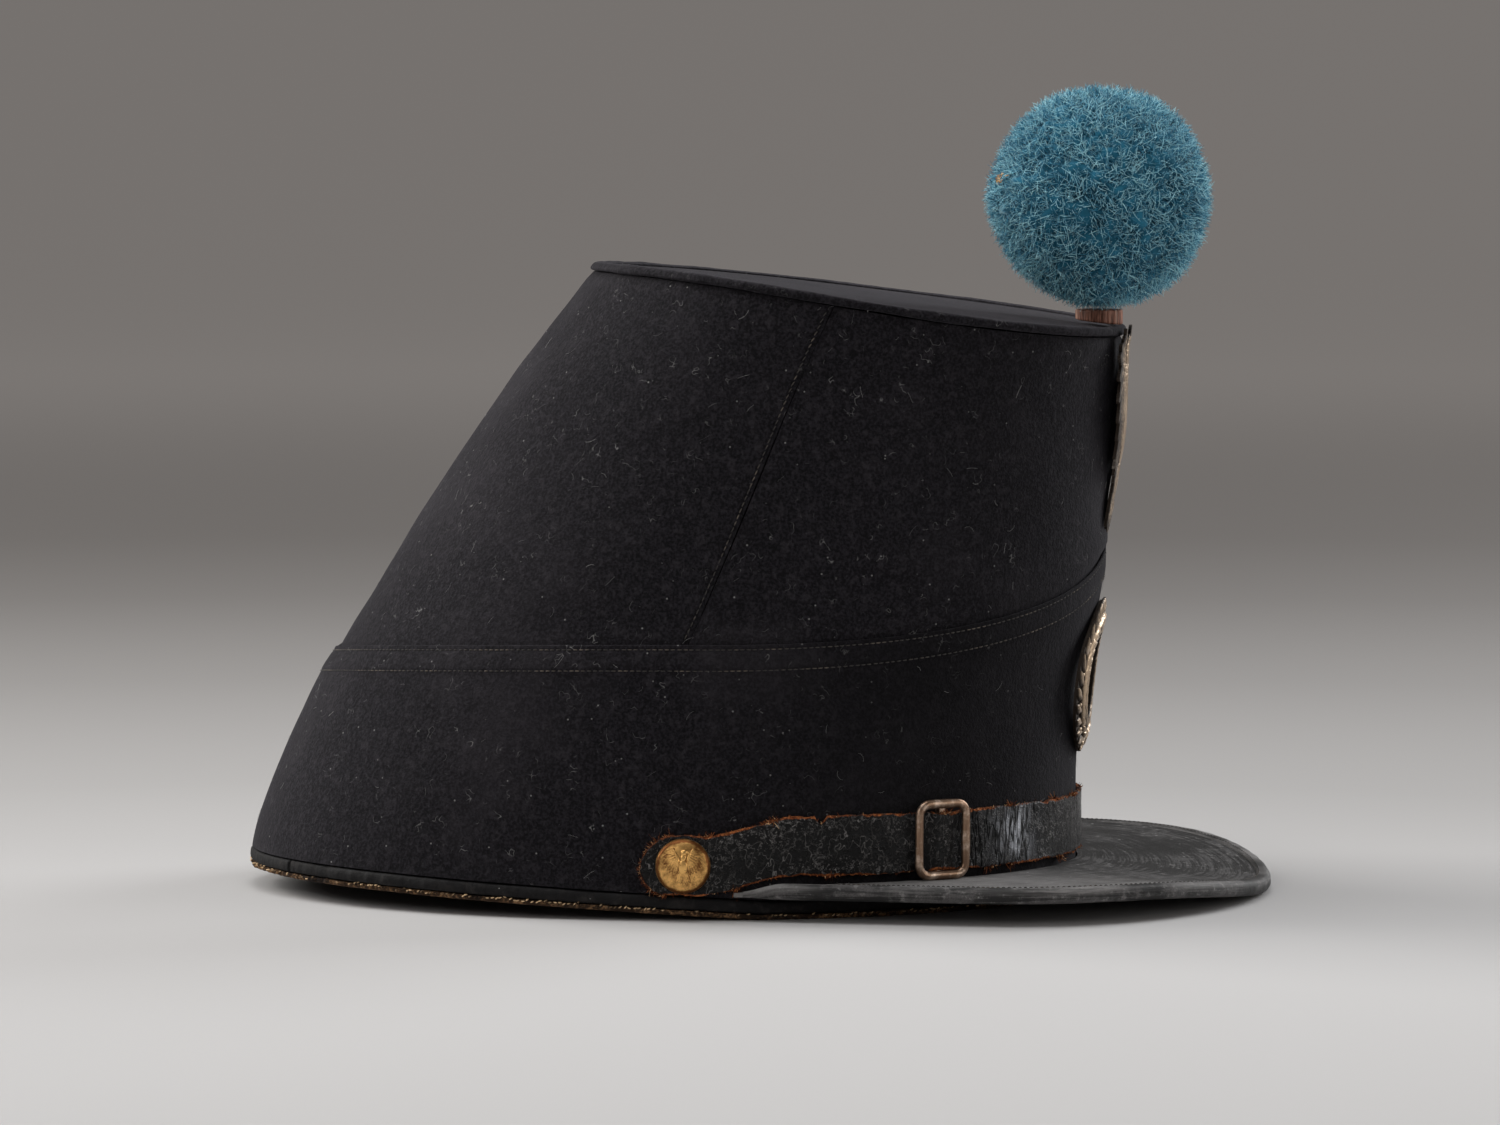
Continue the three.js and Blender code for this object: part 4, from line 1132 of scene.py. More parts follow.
def edge_stitches(sizes):
    """Slanted pale stitches between the raw edge and the binding"""
    draw = np.random.default_rng(64)
    count = 560
    angle = (np.arange(count) + draw.uniform(-0.25, 0.25, count)) / count * FULL_TURN
    worn = hump(wrapped(angle, math.radians(-112)), 0.5)
    patchy = 0.35 * rumple(wall_point(angle, 0 * angle, 0), 40 * MM, 65)
    keep = draw.random(count) < 0.6 + 0.5 * worn + patchy
    angle = angle[keep]
    z = base_height(angle) + EDGE_HEIGHT + draw.normal(-0.1, 0.22, len(angle)) * MM
    places = wall_point(angle, z, EDGE_FACE + 0.25 * MM)
    ahead = unit(wall_point(angle + NUDGE, z, EDGE_FACE) - wall_point(angle - NUDGE, z, EDGE_FACE))
    tilt = draw.normal(0, 0.35, len(angle)) + 0.35
    along = unit(ahead + np.stack([0 * tilt, 0 * tilt, tilt], -1))
    return stitches(places, along, wall_normal(angle, z), 0.9 * MM, sizes.thread * 0.6)


def visor_corner():
    return wall_point(math.radians(VISOR_ANGLE), VISOR_HEIGHT, BINDING_FACE + CORNER_PROUD)


def visor_outline(share):
    """The visor's edge in plan, from the right rear corner at -1 by the tip at 0 to the left one at 1"""
    corner = visor_corner()
    side = np.where(share < 0, -1.0, 1.0)
    along = 1 - np.abs(share)
    shoulder = BAND_AHEAD - VISOR_SHOULDER
    t = along / VISOR_STRAIGHT
    turn = (along - VISOR_STRAIGHT) / (1 - VISOR_STRAIGHT) * math.pi / 2
    straight = np.stack([mix(corner[0], shoulder, t), side * mix(corner[1], VISOR_HALF, t)], -1)
    arc = [mix(shoulder, BAND_AHEAD + VISOR_REACH, np.sin(turn)), side * VISOR_HALF * np.cos(turn)]
    return np.where((along < VISOR_STRAIGHT)[..., None], straight, np.stack(arc, -1))


def visor_edge(share):
    """Places on the visor's edge in plan, and the ways along it and out of it"""
    ahead = unit(visor_outline(share + NUDGE) - visor_outline(share - NUDGE))
    return visor_outline(share), ahead, np.stack([ahead[:, 1], -ahead[:, 0]], -1)


def past_corner(x):
    """0 at the visor's rear corners, 1 where its straight sides are at their full thickness"""
    level = wall_point(DIP_START, VISOR_HEIGHT, BAND_OUTER)[0]
    corner = visor_corner()[0]
    return smooth((x - corner) / (level - corner))


def visor_height(x, y):
    """Height of the visor's upper face"""
    tuck = VISOR_HEIGHT + 2 * CLEARANCE + STRAP_WIDTH / 2 - strap_height(math.radians(VISOR_ANGLE))
    ahead = np.clip((x - BAND_AHEAD) / VISOR_REACH, 0, 1)
    across = np.clip(1 - (y / VISOR_HALF) ** 2, 0, 1)
    return VISOR_HEIGHT - tuck * (1 - past_corner(x)) - VISOR_DROOP * ahead * across * across


def visor_plate():
    """The visor and the attributes of its finish"""
    share = np.linspace(-1, 1, 240)[:, None]
    t = spread(30, 0.4)[None, :]
    outer = visor_outline(share[:, 0])[:, None]
    root = wall_point(np.radians(VISOR_ANGLE) * share, VISOR_HEIGHT, BINDING_FACE + CLEARANCE)
    flat = mix(root[..., :2], outer, t[..., None])
    z = visor_height(flat[..., 0], flat[..., 1])
    thin = mix(CORNER_THIN, 1, past_corner(outer[..., 0]))
    top = np.concatenate([flat, z[..., None]], -1)
    dents = ripples(top, (0.12, 30, 71), (0.04, 8, 72))
    inset = np.linalg.norm(flat - outer, axis=-1)
    swell = 0.25 * MM * hump(np.maximum(inset - TRIM_WIDTH, 0), 3 * MM) * past_corner(outer[..., 0])
    top[..., 2] += dents * np.sin(math.pi * t) + swell * (inset > TRIM_WIDTH - 0.4 * MM)
    bottom = top.copy()
    bottom[..., 2] -= VISOR_THICKNESS * thin
    place = np.stack([share * VISOR_RUN + 0 * t, -inset, 0 * inset], -1)
    side = smooth((-top[..., 1] - 28 * MM) / (34 * MM))
    bare = hump(inset - TRIM_WIDTH - 0.1 * MM, 0.22 * MM) * hump(share + 0.2, 0.1)
    attributes = {}
    for name, values in (("flat", place), ("rub", side), ("bare", bare)):
        attributes[name] = np.concatenate([values.reshape(-1, *values.shape[2:])] * 2)
    return slab(top, bottom), attributes


def trim_section(over, thick):
    """The folded leather's section, round from its upper lip: how far out and up for each place along it"""
    middle = -thick / 2
    half = thick / 2 + over
    turn = np.linspace(math.pi / 2, -math.pi / 2, 13)
    round_off = 0.9 * half
    lips = ((-1.0, 0.25), (-0.88, 0.8), (-0.65, 1.0))
    upper = [(TRIM_WIDTH * out, over * up) for out, up in lips]
    nose = [(over - round_off + round_off * math.cos(t) ** 0.75, middle + half * math.sin(t)) for t in turn]
    lower = [(out, 2 * middle - up) for out, up in reversed(upper)]
    fold = [(CLEARANCE * 0.6, middle - half * 0.6 * math.sin(t)) for t in turn[::-1]]
    inside = [(TRIM_WIDTH * out, 2 * middle - 0.5 * over) for out in (-0.95, -0.6)]
    inside += [(out, -up + 2 * middle) for out, up in fold]
    inside += [(TRIM_WIDTH * out, 0.1 * over) for out in (-0.6, -0.95)]
    places = upper + nose + lower + inside
    return np.stack([np.stack([out + 0 * over, up], -1) for out, up in places], 1)


def visor_trim():
    """The leather folded over the visor's edge, and its attributes. It thins out at the rear corners."""
    share = np.linspace(-0.985, 0.985, 480)
    here, _, out = visor_edge(share)
    full = np.maximum(past_corner(here[:, 0]), 0.02)
    over = (CLEARANCE + TRIM_THICKNESS) * full
    section = trim_section(over, VISOR_THICKNESS * mix(CORNER_THIN, 1, full))
    proud, up = section[..., 0], section[..., 1]
    inset = np.maximum(-proud, 0)
    x = here[:, :1] + out[:, :1] * proud
    y = here[:, 1:] + out[:, 1:] * proud
    face = visor_height(here[:, :1] - inset * out[:, :1], here[:, 1:] - inset * out[:, 1:])
    points = np.stack([x, y, face + up], -1)
    skin = 19  # places of the section that lie outside, with the nose in their middle
    outside = (np.arange(section.shape[1]) < skin)[None, :]
    spot = points[:, skin // 2 : skin // 2 + 1]
    crease = ripples(spot, (0.1, 9, 73), (0.05, 2.6, 74))
    nudge = (crease - 0.08 * MM) * outside * np.clip((proud + 1.5 * MM) / MM, 0, 1)
    points[..., :2] += out[:, None] * nudge[..., None]
    flat = np.stack([share[:, None] * VISOR_RUN + 0 * proud, up + 0 * x, 0 * x], -1)
    rub = hump(up - 0.3 * MM, 1.1 * MM) * (0.7 + 0.6 * rumple(spot, 26 * MM, 75))
    bare = hump(proud + TRIM_WIDTH, 0.3 * MM) * hump(share + 0.2, 0.1)[:, None]
    rub, bare = np.clip(rub, 0, 1).ravel(), (bare + 0 * x).ravel()
    return shell(points, False), {"flat": flat.reshape(-1, 3), "rub": rub, "bare": bare}


def trim_stitches(sizes):
    """Fine stitches along the trim's upper edge"""
    share = np.arange(-0.83, 0.83, 1.5 * MM / (185 * MM))
    here, ahead, out = visor_edge(share)
    spot = here - out * (TRIM_WIDTH - 0.8 * MM)
    z = visor_height(spot[:, 0], spot[:, 1]) + CLEARANCE + TRIM_THICKNESS + 0.03 * MM
    places = np.concatenate([spot, z[:, None]], -1)
    along = np.concatenate([ahead, 0 * z[:, None]], -1)
    up = np.broadcast_to((0.0, 0.0, 1.0), places.shape)
    return stitches(places, along, up, 1.0 * MM, sizes.thread * 0.36)


BUCKLE_SEAT = seat_on(math.radians(BUCKLE_ANGLE), STRAP_FRONT + BUCKLE_SLACK, 0)


def over_bar(points):
    """1 where the strap crosses the buckle's bar, 0 away from it"""
    offset = points - BUCKLE_SEAT["place"]
    away = np.abs(offset @ BUCKLE_SEAT["along"])
    flat = BAR_WIDTH / 2 + CLEARANCE
    clear = BUCKLE_LENGTH / 2 - BUCKLE_WIRE - CLEARANCE
    near = np.linalg.norm(offset, axis=-1) < BUCKLE_LENGTH
    return near * (1 - smooth((away - flat) / (clear - flat)))


def strap_edges(angle):
    """How much each edge of the strap is worn in: upper and lower"""
    line = np.stack([angle * WALL_RUN, 0 * angle, 0 * angle], -1)
    upper, lower = (
        0.22 * MM * (1 + rumple(line, broad * MM, seed)) + 0.12 * MM * rumple(line, fine * MM, seed + 1)
        for broad, fine, seed in ((6, 1.6, 81), (7, 1.5, 83))
    )
    tear = 2.6 * MM * np.clip(1 - np.abs(np.degrees(angle) - STRAP_TEAR) / 0.9, 0, 1) ** 0.7
    return np.maximum(upper, 0) + tear, np.maximum(lower, 0)


def strap_body():
    """The chin strap and the attributes of its finish"""
    radius = STRAP_WIDTH / 2
    reach = float(girth(np.array(BUTTON_ANGLE), np.array(STRAP_END)))
    end = BUTTON_ANGLE + STRAP_TAIL / reach
    turn = np.linspace(math.radians(12), math.pi / 2, 16)
    tips = end - radius * (1 - np.cos(turn)) / reach
    straight = np.linspace(-tips[-1], tips[-1], 560)[1:-1]
    angle = np.concatenate([-tips, straight, tips[::-1]])
    end_half = radius * np.sin(turn)
    half = np.concatenate([end_half, np.full(len(straight), radius), end_half[::-1]])
    middle = wall_point(angle, strap_height(angle), 0)
    over = over_bar(middle)
    half = half - over * STRAP_NECK / 2
    upper, lower = strap_edges(angle)
    across = spread(19, 0.55)[None, :] * 2 - 1
    worn = np.where(across > 0, upper[:, None], lower[:, None]) * np.abs(across) ** 6
    calm = (1 - over)[:, None]
    level = across * half[:, None] - np.sign(across) * worn * calm
    z = strap_height(angle)[:, None] + level
    turned = angle[:, None] + 0 * z
    spot = np.stack([turned * WALL_RUN, level, 0 * z], -1)
    wave = ripples(spot, (0.14, 16, 85), (0.06, 3, 86))
    curl = 0.35 * MM * np.abs(across) ** 5 * rumple(spot[:, :1], 13 * MM, 87)
    rounded = 0.3 * MM * smooth((np.abs(across) - 0.93) / 0.07)
    shift = np.maximum(wave + curl, -0.12 * MM) * calm
    base = STRAP_INNER + over[:, None] * STRAP_LIFT
    outer = wall_point(turned, z, base + STRAP_THICKNESS + shift - rounded - 0.05 * MM * calm)
    inner = wall_point(turned, z, base + np.maximum(shift, 0) + 0.02 * MM)
    points = np.concatenate([outer, inner[:, ::-1]], axis=1)
    flat = np.concatenate([spot, spot[:, ::-1]], axis=1)
    off_edge = np.minimum(half[:, None] - np.abs(level) - worn, 2 * MM) / (2 * MM)
    edge = 1 - np.clip(off_edge, 0, 1)
    edge = np.concatenate([edge, np.ones_like(edge)], axis=1)
    degrees = np.degrees(turned)
    split = hump(degrees + 33, 7.5) + 0.25 * hump(degrees - 35, 20) + 0.15 * hump(degrees + 52, 6)
    # painted sheen: where the pale painted reflection lies on the strap
    polish = hump(degrees + 29.5, 3.6) * smooth(1.15 - np.abs(across * 0.8))
    attributes = {"flat": flat.reshape(-1, 3), "edge": edge.ravel()}
    for name, values in (("split", np.clip(split, 0, 1)), ("polish", polish)):
        attributes[name] = np.concatenate([values, values[:, ::-1]], axis=1).ravel()
    return shell(points, False), attributes


def strap_frays(sizes):
    """Torn fibres along the strap's edges and round its right-hand end, thicker in tufts"""
    draw = np.random.default_rng(88)
    loose = sizes.fray_count
    tufts = [(draw.uniform(-86.5, 82, loose), draw.choice((-1, 1), loose), draw.uniform(0.25, 0.7, loose))]
    for row in STRAP_TUFTS:
        fibres = row["fibres"]
        places = draw.normal(row["angle"], 0.55, fibres)
        tufts.append((places, np.full(fibres, row["edge"]), draw.uniform(0.5, 1.6, fibres)))
    angle, edge, length = (np.concatenate(column) for column in zip(*tufts))
    angle = np.radians(angle)
    upper, lower = strap_edges(angle)
    worn = np.where(edge > 0, upper, lower)
    over = over_bar(wall_point(angle, strap_height(angle), 0))
    half = STRAP_WIDTH / 2 - over * STRAP_NECK / 2
    z = strap_height(angle) + edge * (half - worn * (1 - over) - 0.15 * MM)
    roots = wall_point(angle, z, STRAP_OUTER + over * STRAP_LIFT - draw.uniform(0.1, 1.0, len(angle)) * MM)
    out = wall_normal(angle, z)
    ways = unit(np.stack([0 * z, 0 * z, edge * 1.0], -1) + 0.8 * draw.normal(size=roots.shape) + 0.25 * out)
    solid = hairs(roots, ways, out, length * MM, 0.13 * MM, draw, 0.8)
    return solid, np.repeat(draw.random(len(angle)) ** 1.2, HAIR_SIDES * HAIR_POINTS)


def end_frays():
    """The torn rim of the strap's rounded end"""
    draw = np.random.default_rng(89)
    count = 260
    turn = draw.uniform(-1.5, 1.5, count)
    radius = STRAP_WIDTH / 2 + draw.uniform(-0.3, 0.15, count) * MM
    reach = float(girth(np.array(BUTTON_ANGLE), np.array(STRAP_END)))
    middle = BUTTON_ANGLE + (STRAP_TAIL - STRAP_WIDTH / 2) / reach
    angle = -(middle + radius * np.cos(turn) / reach)
    z = STRAP_END + radius * np.sin(turn)
    out = wall_normal(angle, z)
    roots = wall_point(angle, z, STRAP_OUTER - draw.uniform(0.0, 1.1, count) * MM)
    centre = wall_point(-middle, STRAP_END, STRAP_INNER)
    ways = unit(unit(roots - centre) * 0.6 + 0.7 * draw.normal(size=roots.shape))
    solid = hairs(roots, ways, out, draw.uniform(0.4, 1.3, count) * MM, 0.085 * MM, draw, 0.8)
    return solid, np.repeat(draw.random(count), HAIR_SIDES * HAIR_POINTS)


def buckle_body():
    """A wire frame with rounded corners, a flat bar behind the strap and the two posts that join them"""
    wire = BUCKLE_WIRE / 2
    half_length = BUCKLE_LENGTH / 2 - wire
    half_height = BUCKLE_HEIGHT / 2 - wire
    depth = STRAP_OUTER + CLEARANCE + wire
    corners = []
    for quarter, (ahead, above) in enumerate(((1, 1), (-1, 1), (-1, -1), (1, -1))):
        turn = np.linspace(quarter, quarter + 1, 10) * math.pi / 2
        middle = np.array([ahead * (half_length - BUCKLE_BEND), above * (half_height - BUCKLE_BEND)])
        ray = np.stack([np.cos(turn), np.sin(turn)], -1)
        corners.append(np.concatenate([middle + BUCKLE_BEND * ray, ray], -1))
    corners = np.concatenate(corners)
    filled = []
    for a, b in zip(corners, np.roll(corners, -1, axis=0)):
        steps = max(1, int(np.linalg.norm(b[:2] - a[:2]) / (0.8 * MM)))
        filled.append(mix(a, b, np.arange(steps)[:, None] / steps))
    loop = np.concatenate(filled)
    ray = unit(loop[:, 2:])
    turn = round_angles(20)
    spot = np.concatenate([loop[:, :2], 0 * loop[:, :1]], -1)
    thick = wire * (1 + 0.035 * rumple(spot, 9 * MM, 91))[:, None]
    broad = 1.2 * thick * np.cos(turn)
    along = loop[:, :1] + ray[:, :1] * broad
    up = loop[:, 1:2] + ray[:, 1:] * broad
    solids = [shell(onto_seat(BUCKLE_SEAT, along, up, depth + thick * np.sin(turn)), True)]
    bar_depth = STRAP_INNER + BAR_STAND + BAR_THICKNESS / 2
    solids.append(bar_of(-half_height, half_height, bar_depth, BAR_THICKNESS / 2))
    for side in (-1, 1):
        start = (STRAP_WIDTH - STRAP_NECK) / 2 + CLEARANCE - side * BUCKLE_SLACK
        middle = (depth + STRAP_INNER + BAR_STAND) / 2
        low, high = sorted((side * start, side * (half_height + 0.2 * wire)))
        solids.append(bar_of(low, high, middle, (depth - STRAP_INNER - BAR_STAND) / 2))
    return joined(solids)


def bar_of(low, high, depth, half):
    """An upright bar of the buckle with soft corners"""
    up = np.linspace(low, high, 9)[:, None]
    turn = round_angles(24)[None, :]
    along, out = squared(turn, 0.45)
    along, out = BAR_WIDTH / 2 * along, depth + half * out
    return shell(onto_seat(BUCKLE_SEAT, along + 0 * up, up + 0 * turn, out + 0 * up), False)


# Stamped relief: feathers and leaves lie in a plate's plane and are then laid onto its surface


def blade(root, tip, width, rise, depth, bend=0.0, lift=0.5, steps=(11, 7), fullness=0.7):
    """A feather or leaf from its root to its tip: places in the plane, and heights above and below it"""
    t = np.linspace(0, 1, steps[0])[:, None]
    across = np.linspace(-1, 1, steps[1])[None, :]
    root, tip = np.array(root, float), np.array(tip, float)
    run = tip - root
    square = np.array([-run[1], run[0]]) / np.linalg.norm(run)
    half = width / 2 * np.maximum(np.sin(math.pi * np.clip(t, 0.02, 0.98) ** fullness) ** 0.75, 0.12)
    places = root + run * t[..., None] + square * (across * half + bend * np.sin(math.pi * t))[..., None]
    crown = (1 - across**2) * (0.4 + 0.6 * np.sin(math.pi * t) ** 0.5)
    rib = 0.35 * hump(across, 0.16) * (1 - t)
    barbs = 0.07 * np.sin(t * 34 + np.abs(across) * 5) * (np.abs(across) > 0.2)
    high = rise * (crown + rib + barbs * np.sin(math.pi * t)) + rise * lift * t
    return {"places": places, "high": high, "low": np.minimum(-depth, high - 0.1 * rise)}


def dome(middle, radii, rise, depth, count, crossed=0.0):
    """A smooth rounded body, with rows of small scales if it is crossed"""
    aside, up = disc(count)
    away = np.clip(aside**2 + up**2, 0, 1)
    places = np.array(middle) + np.stack([aside * radii[0], up * radii[1]], -1)
    scales = crossed * np.sin(aside * 16 + up * 3) * np.sin(up * 20)
    high = rise * (np.sqrt(np.clip(1 - away, 0, 1)) + scales * (1 - away))
    return {"places": places, "high": high, "low": np.full_like(high, -depth)}


def emboss(parts, onto):
    """Lays parts of a relief onto a surface: "onto" gives the points for a place in the plane and a height.
    Also returns how high each point is, as a share of the highest."""
    solids, crests = [], []
    for part in parts:
        solids.append(slab(onto(part["places"], part["high"]), onto(part["places"], part["low"])))
        crests += [part["high"].ravel(), part["low"].ravel()]
    crest = np.concatenate(crests)
    return joined(solids), np.clip(crest / np.percentile(crest, 97), 0, 1)


def place_along(line, share):
    """A place at a share of the way along a line of (out, up) places"""
    at = np.linspace(0, 1, len(line))
    return tuple(float(np.interp(share, at, [p[k] for p in line])) for k in (0, 1))


def feather_row(box, side, row, rise, depth):
    """A row of feathers between two lines of places, given as shares of the box"""
    parts = []
    for share in np.linspace(0, 1, row["count"]):
        ends = [place_along(row[line], share) for line in ("roots", "tips")]
        ends = [np.array((side * out, up)) * box for out, up in ends]
        bend = side * 0.02 * box[0]
        parts.append(blade(*ends, row["width"] * box[0], rise * row["rise"], depth, bend, 0.3, (8, 7), 0.9))
    return parts


# A spread eagle's feathers: the lines that each row starts and ends on, how many, how broad and how high, as
# shares of a box from the middle line outwards and from the foot up. Its wings come first, then its legs.
FEATHERS = (
    {"roots": ((0.42, 0.9), (0.32, 0.76), (0.2, 0.56)), "width": 0.23, "rise": 0.7, "count": 12,
     "tips": ((0.6, 1.0), (0.98, 0.9), (1.0, 0.6), (0.8, 0.36), (0.38, 0.26))},
    {"roots": ((0.44, 0.9), (0.3, 0.78), (0.2, 0.6)), "width": 0.2, "rise": 1.1, "count": 10,
     "tips": ((0.55, 0.96), (0.79, 0.84), (0.76, 0.62), (0.57, 0.46), (0.34, 0.39))},
    {"roots": ((0.44, 0.9), (0.3, 0.78), (0.2, 0.62)), "width": 0.16, "rise": 1.35, "count": 8,
     "tips": ((0.5, 0.95), (0.62, 0.83), (0.56, 0.68), (0.42, 0.55), (0.3, 0.5))},
    {"roots": ((0.14, 0.6), (0.2, 0.58)), "width": 0.15, "rise": 1.7, "count": 2,
     "tips": ((0.47, 0.95), (0.41, 0.87))},
    {"roots": ((0.05, 0.36), (0.12, 0.36)), "width": 0.17, "rise": 1.5, "count": 2,
     "tips": ((0.2, 0.15), (0.28, 0.17))},
    {"roots": ((0.23, 0.17), (0.23, 0.17)), "width": 0.08, "rise": 1.3, "count": 3,
     "tips": ((0.12, 0.09), (0.34, 0.1))},
)
TAIL = {"roots": ((-0.1, 0.36), (0.1, 0.36)), "width": 0.2, "rise": 1.0, "count": 7,
        "tips": ((-0.38, 0.05), (0, 0), (0.38, 0.05))}

# Its belly, neck, head, beak and the beak's hook, in the same shares
EAGLE_BODY = (
    {"middle": (0, 0.5), "radii": (0.23, 0.21), "rise": 3.2, "count": 19, "crossed": 0.08},
    {"middle": (0.01, 0.74), "radii": (0.15, 0.11), "rise": 3.0, "count": 13, "crossed": 0.08},
    {"middle": (0.05, 0.88), "radii": (0.17, 0.085), "rise": 3.4, "count": 13, "crossed": 0},
    {"middle": (0.2, 0.88), "radii": (0.13, 0.04), "rise": 2.6, "count": 9, "crossed": 0},
    {"middle": (0.29, 0.85), "radii": (0.045, 0.045), "rise": 2.2, "count": 7, "crossed": 0},
)


def eagle(half, height, rise, depth):
    """A spread eagle of plain pattern, its head turned to one side, in a box 2 * half wide"""
    box = np.array((half, height))
    parts = []
    for side in (-1, 1):
        for row in FEATHERS:
            parts += feather_row(box, side, row, rise, depth)
    parts += feather_row(box, 1, TAIL, rise, depth)
    for row in EAGLE_BODY:
        middle, radii = box * row["middle"], box * row["radii"]
        parts.append(dome(middle, radii, rise * row["rise"], depth, row["count"], row["crossed"]))
    return parts


def laurel(width, height, rim, rise):
    """An oval of laurel leaves in two branches, with berries and a plain tie below"""
    parts = []
    depth = 0.15 * rise
    radii = np.array([width / 2 - rim / 2, height / 2 - rim / 2])

    def ring(turn):
        return radii * (math.sin(turn), -math.cos(turn))

    pairs = 14
    for side in (-1, 1):
        for k in range(pairs):
            turn = side * mix(0.16, math.pi - 0.1, k / (pairs - 1))
            here = ring(turn)
            ahead = unit(ring(turn + side * 0.05) - here)
            square = np.array([ahead[1], -ahead[0]]) * side
            for lean, out, tall in ((0.62, 0.14, 0.9), (-0.62, -0.16, 0.9), (0.0, 0.0, 1.3)):
                start = here + square * out * rim
                tip = start + (ahead * math.cos(lean) + square * math.sin(lean)) * rim * 0.64
                parts.append(blade(start, tip, rim * 0.31, rise * tall, depth, 0, 0.5, (10, 7), 0.85))
            if k % 2:
                berry = here + square * rim * 0.3 - ahead * rim * 0.1
                parts.append(dome(berry, (rim * 0.08,) * 2, rise * 1.4, depth, 7))
        bow = ring(0)
        tail = bow + (side * rim * 0.75, -rim * 0.32)
        parts.append(blade(bow, tail, rim * 0.3, rise, depth, side * 0.6 * MM, 0.2))
    parts.append(dome(ring(0), (rim * 0.17, rim * 0.24), rise * 1.7, depth, 9))
    return parts


def plate_bend(y, flatness):
    """How far a plate falls back beside its middle line"""
    return y * y / (CROWN_WIDTH * flatness)


def onto_eagle(places, height):
    """The eagle plate's front surface, for places up from its foot"""
    y, z = places[..., 0], places[..., 1] + EAGLE_LOW
    rim = FRONT_HEIGHT - WELT_HEIGHT - CLEARANCE
    at_rim = smooth((z - rim) / WELT_HEIGHT + 1)
    gap = np.maximum(eagle_gap(z), mix(0, WELT_PROUD + CLEARANCE, at_rim)) - EAGLE_SET_BACK * (1 - at_rim)
    inner = wall_point(0 * z, np.minimum(z, FRONT_HEIGHT), 0)[..., 0] + gap
    return np.stack([inner + PLATE_THICKNESS - plate_bend(y, EAGLE_FLATNESS) + height, y, z], -1)


def onto_wreath(places, height):
    """The wreath plate's front surface, for places up from its middle"""
    y, z = places[..., 0], places[..., 1] + WREATH_MIDDLE
    bow = WREATH_STANDOFF * np.cos((z - WREATH_MIDDLE) / WREATH_HEIGHT * math.pi)
    inner = wall_point(0 * z, z, BAND_OUTER + CLEARANCE)[..., 0] + np.maximum(bow, 0)
    return np.stack([inner + PLATE_THICKNESS - plate_bend(y, PLATE_FLATNESS) + height, y, z], -1)


def button_body(side):
    """A domed gilt button with a rim and a small spread eagle"""
    seat = seat_on(side * BUTTON_ANGLE, STRAP_END, STRAP_OUTER + CLEARANCE)
    radius = BUTTON_DIAMETER / 2
    rim = BUTTON_THICKNESS * 0.3
    lip = radius * 0.96

    def cap(away):
        return rim + (BUTTON_THICKNESS - rim - 0.35 * MM) * np.sqrt(np.clip(1 - (away / lip) ** 2, 0, 1))

    turn = np.linspace(0, math.pi / 2, 22)[1:]
    border = np.array([
        (lip - 0.15 * MM, 0.0), (radius - 0.1 * MM, rim * 0.2), (radius, rim * 0.55),
        (radius - 0.06 * MM, rim * 0.9), (lip, rim * 1.25),
    ])
    curve = np.stack([lip * 0.985 * np.cos(turn), cap(lip * 0.985 * np.cos(turn))], -1)
    profile = np.concatenate([np.array([(0.02 * MM, 0.0)]), border, curve])
    profile[-1, 0] = 0.02 * MM
    around = round_angles(60)[:, None]
    along = profile[:, 0] * np.cos(around)
    up = profile[:, 0] * np.sin(around)
    body = shell(onto_seat(seat, along, up, profile[:, 1] + 0 * around), True)
    groove = hump(profile[:, 0] - lip * 0.97, 0.4 * MM)
    body_crest = np.tile(0.6 - 0.5 * groove, len(around))

    def onto(places, height):
        centred = places - (0, EMBLEM_MIDDLE)
        away = np.linalg.norm(centred, axis=-1)
        return onto_seat(seat, centred[..., 0], centred[..., 1], cap(away) + height)

    relief, crest = emboss(eagle(EMBLEM_HALF, EMBLEM_HEIGHT, 0.11 * MM, 0.06 * MM), onto)
    return joined([body, relief]), np.concatenate([body_crest, 0.2 + 0.8 * crest])


def stem_seat():
    """The pompom stem's middle, along the cap"""
    return float(rim_point(0, 0, 0)[0]) - STEM_SETBACK


def stem_body():
    """A short upright post, softened at its edges and slightly ribbed"""
    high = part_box("pompom_stem")[1]
    radius = STEM_DIAMETER / 2
    around = round_angles(120)[:, None]
    edge = np.array([0.0, 0.0, 0.04, 0.1, 0.25, 0.5, 0.75, 0.9, 0.96, 1.0, 1.0])[None, :]
    inset = np.array([1.0, 0.06, 0.02, 0.0, 0.0, 0.0, 0.0, 0.0, 0.02, 0.06, 1.0])[None, :]
    ribs = 0.01 * np.sin(around * 23) + 0.008 * np.sin(around * 41 + 1)
    reach = radius * np.clip(1 - inset, 0.003, 1) * (1 + ribs * (inset < 0.5))
    x = stem_seat() + reach * np.cos(around)
    foot = rim_plane(stem_seat() + radius * np.cos(around)) + CLEARANCE
    foot = mix(rim_plane(stem_seat()) + CLEARANCE, foot, reach / radius)
    z = mix(foot, high.z, edge)
    return shell(np.stack([x, reach * np.sin(around), z], -1), True)


def pompom_middle():
    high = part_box("pompom")[1]
    return np.array([stem_seat(), 0, high.z - POMPOM_DIAMETER / 2])


def even_ways(count):
    """Directions spread evenly over a ball"""
    k = np.arange(count) + 0.5
    tilt = np.arccos(1 - 2 * k / count)
    turn = math.pi * (1 + math.sqrt(5)) * k
    return np.stack([np.sin(tilt) * np.cos(turn), np.sin(tilt) * np.sin(turn), np.cos(tilt)], -1)


